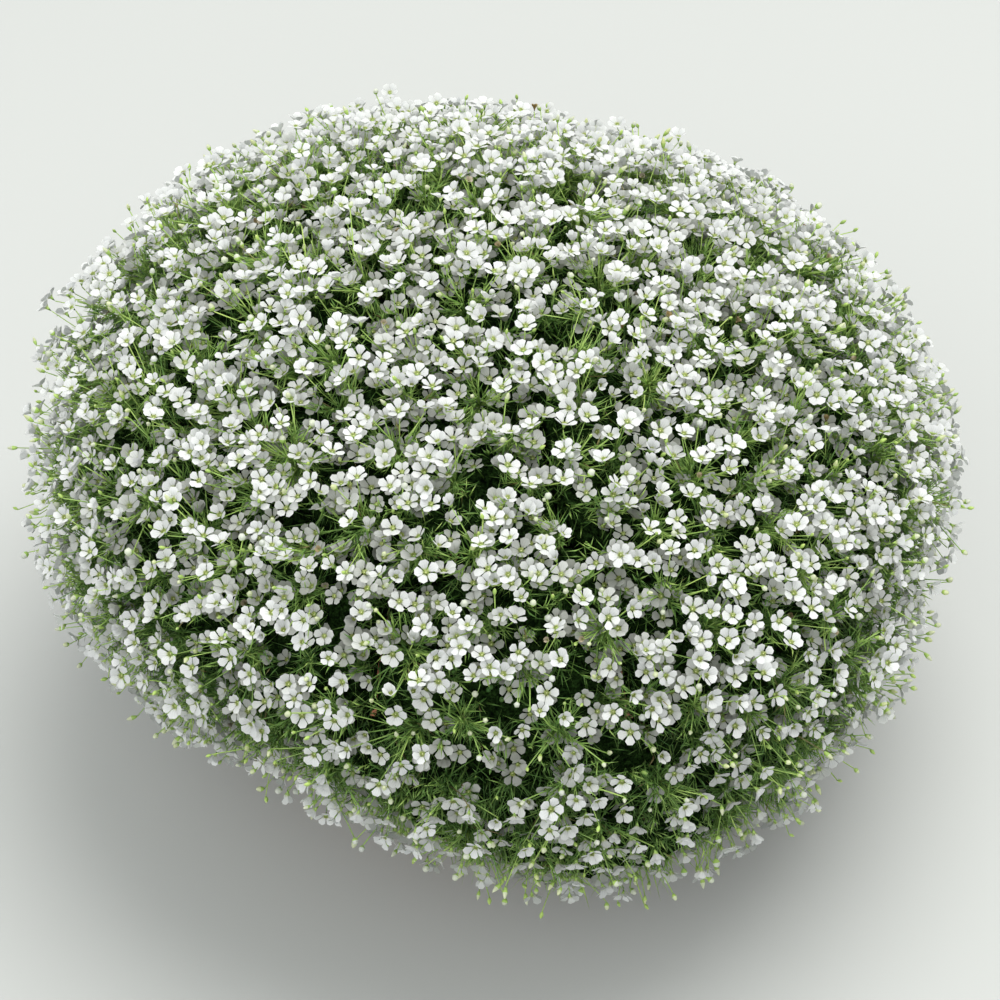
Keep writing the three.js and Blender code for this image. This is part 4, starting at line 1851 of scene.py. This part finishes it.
@dataclass(frozen=True)
class ClayFinish:
    """Fired clay: warm and grainy, pale with lime where water dries, damp and green at the foot."""

    warm: Colour = (0.42, 0.155, 0.065)
    pale: Colour = (0.52, 0.225, 0.11)
    patches: float = 22.0
    specks: float = 420.0
    dark_speck: Colour = (0.86, 0.84, 0.82)
    light_speck: Colour = (1.05, 1.05, 1.05)
    clouds: float = 14.0
    spots: float = 60.0
    lime: Colour = (0.62, 0.50, 0.40)
    cloud_share: float = 0.6
    spot_share: float = 0.4
    lime_span: tuple[float, float] = (0.55, 0.95)
    lime_share: float = 0.55
    damp: Colour = (0.17, 0.075, 0.035)
    damp_height: float = 26 * MM
    damp_wander: float = 0.6
    damp_share: float = 0.75
    moss: Colour = (0.07, 0.085, 0.03)
    moss_share: float = 0.55
    turning: float = 3.2 * MM
    turning_depth: float = 0.12
    grain: tuple[float, float] = (1400.0, 180.0)
    relief: float = 0.5 * MM
    strength: float = 0.5
    roughness: float = 0.88
    damp_shine: float = 0.25

    def build(self, palette: Palette) -> bpy.types.Material:
        """Wire the material.

        Args:
            palette: the shared groups.

        Returns:
            The material.
        """
        coat = Coat("pot clay", palette)
        height = coat.coordinates("Object")[2]
        body, _ = coat.mottled(self.patches, self.warm, self.pale)
        body = coat.patched(body, self.specks, self.dark_speck, self.light_speck)
        _, cloud = coat.mottled(self.clouds, self.warm, self.pale)
        _, spot = coat.mottled(self.spots, self.warm, self.pale)
        spots = coat.math("MULTIPLY", spot, self.spot_share)
        limed = coat.math("MULTIPLY_ADD", cloud, self.cloud_share, spots)
        body = coat.mix(coat.span(limed, *self.lime_span, 0.0, self.lime_share), body, self.lime)
        edge = coat.math("MULTIPLY_ADD", cloud, -self.damp_wander * self.damp_height, height)
        wet = coat.span(edge, 0.0, self.damp_height, self.damp_share, 0.0)
        body = coat.mix(wet, body, self.damp)
        moss = coat.math("MULTIPLY", wet, coat.math("MULTIPLY", spot, self.moss_share))
        body = coat.mix(moss, body, self.moss)
        rings = coat.math("SINE", coat.math("MULTIPLY", height, TURN / self.turning))
        relief = coat.math("MULTIPLY_ADD", rings, self.turning_depth, coat.grained(*self.grain))
        rough = coat.math("MULTIPLY_ADD", wet, -self.damp_shine, self.roughness)
        normal = coat.bump(relief, self.strength, self.relief)
        return coat.end(Base_Color=body, Roughness=rough, Normal=normal)


# Pot and soil


def spun(bm: BMesh, profile: list[tuple[float, float]], sides: int) -> None:
    """Spin a profile of radius and height into a closed round body.

    Args:
        bm: the bmesh that takes the body.
        profile: the profile's points, which start and end on the axis.
        sides: how many steps the turn has.
    """
    verts = [bm.verts.new((radius, 0.0, height)) for radius, height in profile]
    edges = [bm.edges.new(pair) for pair in zip(verts, verts[1:])]
    turn = {"cent": (0, 0, 0), "axis": (0, 0, 1), "dvec": (0, 0, 0), "angle": TURN}
    bmesh.ops.spin(bm, geom=verts + edges, steps=sides, use_merge=True, **turn)
    bmesh.ops.remove_doubles(bm, verts=bm.verts, dist=1e-6)
    bmesh.ops.recalc_face_normals(bm, faces=bm.faces)


def piece_of(bm: BMesh, name: str) -> Piece:
    """Make an object of a bmesh and free it.

    Args:
        bm: the bmesh.
        name: the object's name.

    Returns:
        The object, at the origin.
    """
    mesh = bpy.data.meshes.new(name)
    bm.to_mesh(mesh)
    bm.free()
    return linked(name, mesh)


@dataclass
class Pot:
    """A plain tapered clay pot with a rim band, a rounded lip and drain holes in its floor."""

    foot_radius: float = 62 * MM
    foot_rounding: float = 1.6 * MM
    wall: float = 5 * MM
    floor: float = 6 * MM
    floor_rounding: float = 3 * MM
    lip_rounding: float = 2.1 * MM
    band_height: float = 23 * MM
    band_proud: float = 3.5 * MM
    band_taper: float = 1 * MM
    band_rounding: float = 1.3 * MM
    under_band_rounding: float = 1 * MM
    rounding_steps: int = 4
    drain_holes: int = 4
    drain_radius: float = 5 * MM
    drain_circle: float = 36 * MM
    drill_depth: float = 24 * MM
    sides: int = 112
    drain_sides: int = 24

    def __post_init__(self) -> None:
        """Take the height and the rim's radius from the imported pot."""
        low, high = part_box("pot")
        self.height = high[2]
        self.rim_radius = max(high[0], high[1], -low[0], -low[1])

    def wall_radius(self, height: float) -> float:
        """Return the outside radius of the plain wall at a height."""
        rim = self.rim_radius - self.band_proud
        return self.foot_radius + (rim - self.foot_radius) * height / self.height

    def build(self) -> Piece:
        """Build the pot.

        Returns:
            The pot's object.
        """
        band_foot = self.height - self.band_height
        corners = (
            (self.foot_radius, 0.0, self.foot_rounding),
            (self.wall_radius(band_foot), band_foot, self.under_band_rounding),
            (self.rim_radius - self.band_taper, band_foot, self.band_rounding),
            (self.rim_radius, self.height, self.lip_rounding),
            (self.wall_radius(self.height) - self.wall, self.height, self.lip_rounding),
            (self.wall_radius(self.floor) - self.wall, self.floor, self.floor_rounding),
        )
        bm = bmesh.new()
        profile = [(0.0, 0.0), *((radius, height) for radius, height, _ in corners), (0.0, self.floor)]
        spun(bm, profile, self.sides)
        bevel = {"segments": self.rounding_steps, "profile": 0.5, "affect": "EDGES", "material": -1}
        for radius, height, rounding in corners:
            bmesh.ops.bevel(bm, geom=self.ring(bm, radius, height), offset=rounding, **bevel)
        for face in bm.faces:
            face.smooth = True
        pot = piece_of(bm, "fine_pot")
        self.drill(pot)
        return pot

    def ring(self, bm: BMesh, radius: float, height: float) -> list[bmesh.types.BMEdge]:
        """Find a ring of edges.

        Args:
            bm: the pot's bmesh.
            radius: the ring's radius.
            height: its height.

        Returns:
            The edges.
        """
        spot = (radius, height)
        on_ring = {vert for vert in bm.verts if math.dist((vert.co.xy.length, vert.co.z), spot) < NEAR}
        return [edge for edge in bm.edges if on_ring.issuperset(edge.verts)]

    def drill(self, pot: Piece) -> None:
        """Cut the drain holes through the pot's floor.

        Args:
            pot: the pot's object.
        """
        bm = bmesh.new()
        size = {"radius1": self.drain_radius, "radius2": self.drain_radius, "depth": self.drill_depth}
        for i in range(self.drain_holes):
            turn = TURN * (i + 0.5) / self.drain_holes
            spot = (self.drain_circle * math.cos(turn), self.drain_circle * math.sin(turn), 0.0)
            stand = Matrix.Translation(spot)
            bmesh.ops.create_cone(bm, cap_ends=True, segments=self.drain_sides, matrix=stand, **size)
        drill = piece_of(bm, "drill")
        cut = pot.modifiers.new("drain holes", "BOOLEAN")
        cut.operation = "DIFFERENCE"
        cut.solver = "EXACT"
        cut.object = drill
        solid = pot.evaluated_get(bpy.context.evaluated_depsgraph_get())
        pot.data = bpy.data.meshes.new_from_object(solid)
        pot.modifiers.clear()
        bpy.data.objects.remove(drill)

    def dress(self, pot: Piece, palette: Palette) -> None:
        """Give the pot its clay."""
        pot.data.materials.clear()
        pot.data.materials.append(ClayFinish().build(palette))


@dataclass
class Soil:
    """The soil that fills the pot: a crowned body with a crumbly top."""

    taper: float = 0.175
    shoulder: float = 0.8
    edge_drop: float = 2 * MM
    crown: float = 3 * MM
    roughness: float = 0.5 * MM
    rough_size: float = 14 * MM
    rough_seed: int = 8
    rough_reach: float = 0.97
    sinking: float = 0.8 * MM
    crumbs: int = 900
    grit: int = 70
    crumb_radius: float = 1.5 * MM
    crumb_shares: tuple[float, float] = (0.35, 1.0)
    crumb_reach: float = 0.95
    bedding: float = 1 * MM
    sides: int = 96
    rings: int = 16
    seed: int = 5

    def __post_init__(self) -> None:
        """Take the body's size from the packed soil."""
        low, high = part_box("soil")
        self.foot, self.top = low[2], high[2]
        self.radius = max(high[0], high[1])
        self.level = self.top - self.crown

    def height(self, away: Array) -> Array:
        """Return the height of the smooth top at distances from the axis."""
        places = [0.0, self.shoulder * self.radius, self.radius]
        return np.interp(away, places, [self.top, self.level, self.level - self.edge_drop])

    def body(self) -> Shape:
        """Spin the body and roughen its top.

        Returns:
            Its shape.
        """
        bm = bmesh.new()
        reach = np.linspace(self.radius, 0.0, self.rings)
        foot_radius = self.radius - (self.level - self.foot) * self.taper
        top = zip(reach.tolist(), self.height(reach).tolist())
        spun(bm, [(0.0, self.foot), (foot_radius, self.foot), *top], self.sides)
        lift = Ripples(self.rough_size, self.rough_seed).at(np.array([vert.co[:] for vert in bm.verts]))
        edge_height = self.level - self.edge_drop - WELD
        for vert, up in zip(bm.verts, lift):
            if vert.co.z > edge_height and vert.co.xy.length < self.rough_reach * self.radius:
                vert.co.z += self.roughness * float(up) - self.sinking
        lay_uv(bm, bm.faces, lambda vert: (0.0, 0.0))
        return Shape.of(bm)

    def build(self) -> Piece:
        """Build the soil.

        Returns:
            The soil's object.
        """
        growth, body = Growth(), self.body()
        growth.keep(body, body.points[None], np.zeros((1, len(body.points), 3)))
        rng = np.random.default_rng(self.seed)
        for part, count in ((Part.MAIN, self.crumbs), (Part.OTHER, self.grit)):
            away = self.crumb_reach * self.radius * np.sqrt(rng.uniform(size=count))
            turns = rng.uniform(0.0, TURN, count)
            up = self.height(away) - self.bedding
            middles = np.stack([away * np.cos(turns), away * np.sin(turns), up], axis=1)
            frames = frames_facing(unit(rng.normal(size=(count, 3))), turns)
            stretch = self.crumb_radius * rng.uniform(*self.crumb_shares, (count, 1, 3))
            crumb = ball(subdivisions=1).all_of(part)
            growth.place(crumb, frames * stretch, middles, np.zeros((count, 3)))
        return growth.build("fine_soil")

    def dress(self, soil: Piece, palette: Palette) -> None:
        """Give the soil its peat and grit."""
        for finish in (PeatFinish(), GritFinish()):
            soil.data.materials.append(finish.build(palette))


# Studio


@dataclass(frozen=True)
class Lamp:
    """A soft round light: where it hangs, how wide it is, and its power in watts and its colour."""

    name: str
    place: tuple[float, float, float]
    size: float
    power: float
    colour: Colour = (0.99, 1.0, 0.99)


@dataclass
class Studio:
    """A plain pale floor, soft light and the camera. Distances are in metres and angles in degrees."""

    target: tuple[float, float, float] = (0.0, 0.0, 0.129)
    distance: float = 1.30
    elevation: float = 42.0
    view_angle: float = 18.9
    floor_size: float = 12.0
    floor_colour: Colour = (0.38, 0.39, 0.38)
    floor_roughness: float = 0.9
    sky: Colour = (0.98, 1.0, 0.99)
    sky_strength: float = 1.02
    lamps: tuple[Lamp, ...] = (
        Lamp("key", (0.45, 0.25, 2.35), 1.8, 62.0, (1.0, 0.99, 0.96)),
        Lamp("fill", (-0.5, -1.9, 1.7), 2.2, 26.0),
        Lamp("side", (-1.9, -0.8, 0.8), 1.6, 9.0),
    )

    def build(self) -> None:
        """Build the floor, the lights and the camera."""
        self.lay_floor()
        for lamp in self.lamps:
            self.hang(lamp)
        world = bpy.data.worlds.new("studio")
        world.use_nodes = True
        background = world.node_tree.nodes["Background"]
        background.inputs[0].default_value = (*self.sky, 1.0)
        background.inputs[1].default_value = self.sky_strength
        bpy.context.scene.world = world
        bpy.context.scene.view_settings.view_transform = "Standard"
        self.set_camera()

    def aim(self, holder: Piece, place: Vector, way: Vector) -> None:
        """Put a lamp or the camera in its place, facing a way."""
        holder.location = place
        holder.rotation_euler = way.to_track_quat("-Z", "Y").to_euler()

    def hang(self, lamp: Lamp) -> None:
        """Hang a lamp, turned to the target.

        Args:
            lamp: the lamp.
        """
        light = bpy.data.lights.new(lamp.name, "AREA")
        light.shape = "DISK"
        light.size = lamp.size
        light.energy = lamp.power
        light.color = lamp.colour
        place = Vector(lamp.place)
        self.aim(linked(lamp.name, light), place, Vector(self.target) - place)

    def lay_floor(self) -> None:
        """Lay the floor and give it its own plain finish."""
        bm = bmesh.new()
        bmesh.ops.create_grid(bm, x_segments=1, y_segments=1, size=0.5 * self.floor_size)
        floor = piece_of(bm, "floor")
        material = bpy.data.materials.new("studio floor")
        material.use_nodes = True
        skin = material.node_tree.nodes["Principled BSDF"]
        skin.inputs["Base Color"].default_value = (*self.floor_colour, 1.0)
        skin.inputs["Roughness"].default_value = self.floor_roughness
        floor.data.materials.append(material)
        floor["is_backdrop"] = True

    def set_camera(self) -> None:
        """Stand the camera where the photograph was taken."""
        camera = bpy.data.cameras.new("camera")
        camera.sensor_fit = "HORIZONTAL"
        camera.angle = math.radians(self.view_angle)
        rise = math.radians(self.elevation)
        away = Vector((0.0, -math.cos(rise), math.sin(rise))) * self.distance
        holder = linked("camera", camera)
        self.aim(holder, Vector(self.target) + away, -away)
        bpy.context.scene.camera = holder


def settle(piece: Piece, slot: Slot, *nodes: str) -> None:
    """Put a finished piece in the frame, in the place of the nodes that it stands for.

    Args:
        piece: the piece.
        slot: the material slot of its finish; not used.
        nodes: the nodes that it replaces.
    """
    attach(piece, ROOT)
    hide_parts(*nodes)
    log.info("%s: %d triangles", piece.name, sum(len(face.vertices) - 2 for face in piece.data.polygons))


def write_sizes() -> None:
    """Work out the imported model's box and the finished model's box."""
    boxes = {
        name: [[float(value) for value in corner] for corner in box]
        for name, box in (("cad", CAD_BOX), ("visual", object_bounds()))
    }


def main() -> None:
    """Build the pot, its soil and the plant, then the studio."""
    logging.basicConfig(level=logging.INFO, format="%(name)s: %(message)s")
    palette = Palette()
    for part, slot, node in ((Pot(), Slot.POT, "pot"), (Soil(), Slot.SOIL, "soil")):
        piece = part.build()
        part.dress(piece, palette)
        settle(piece, slot, node)
    # The heart's finish is painted shade.
    petal, leaf, throat, heart = (
        finish.build(palette) for finish in (PetalFinish(), LeafFinish(), ThroatFinish(), PaintedShadeFinish())
    )
    plant = Plant()
    for cell, foliage, flowers in plant.grow():
        for growth, name, materials, slot, node in (
            (foliage, "foliage", (leaf, petal, heart), Slot.LEAVES, "leafy_stem"),
            (flowers, "flowers", (petal, leaf, throat), Slot.PETALS, "blooms"),
        ):
            piece = growth.build(f"{name}_{cell.number:02d}")
            plant.dress(piece, *materials)
            settle(piece, slot, f"{node}_{cell.number:02d}")
    Studio().build()
    write_sizes()


if __name__ == "__main__":
    main()
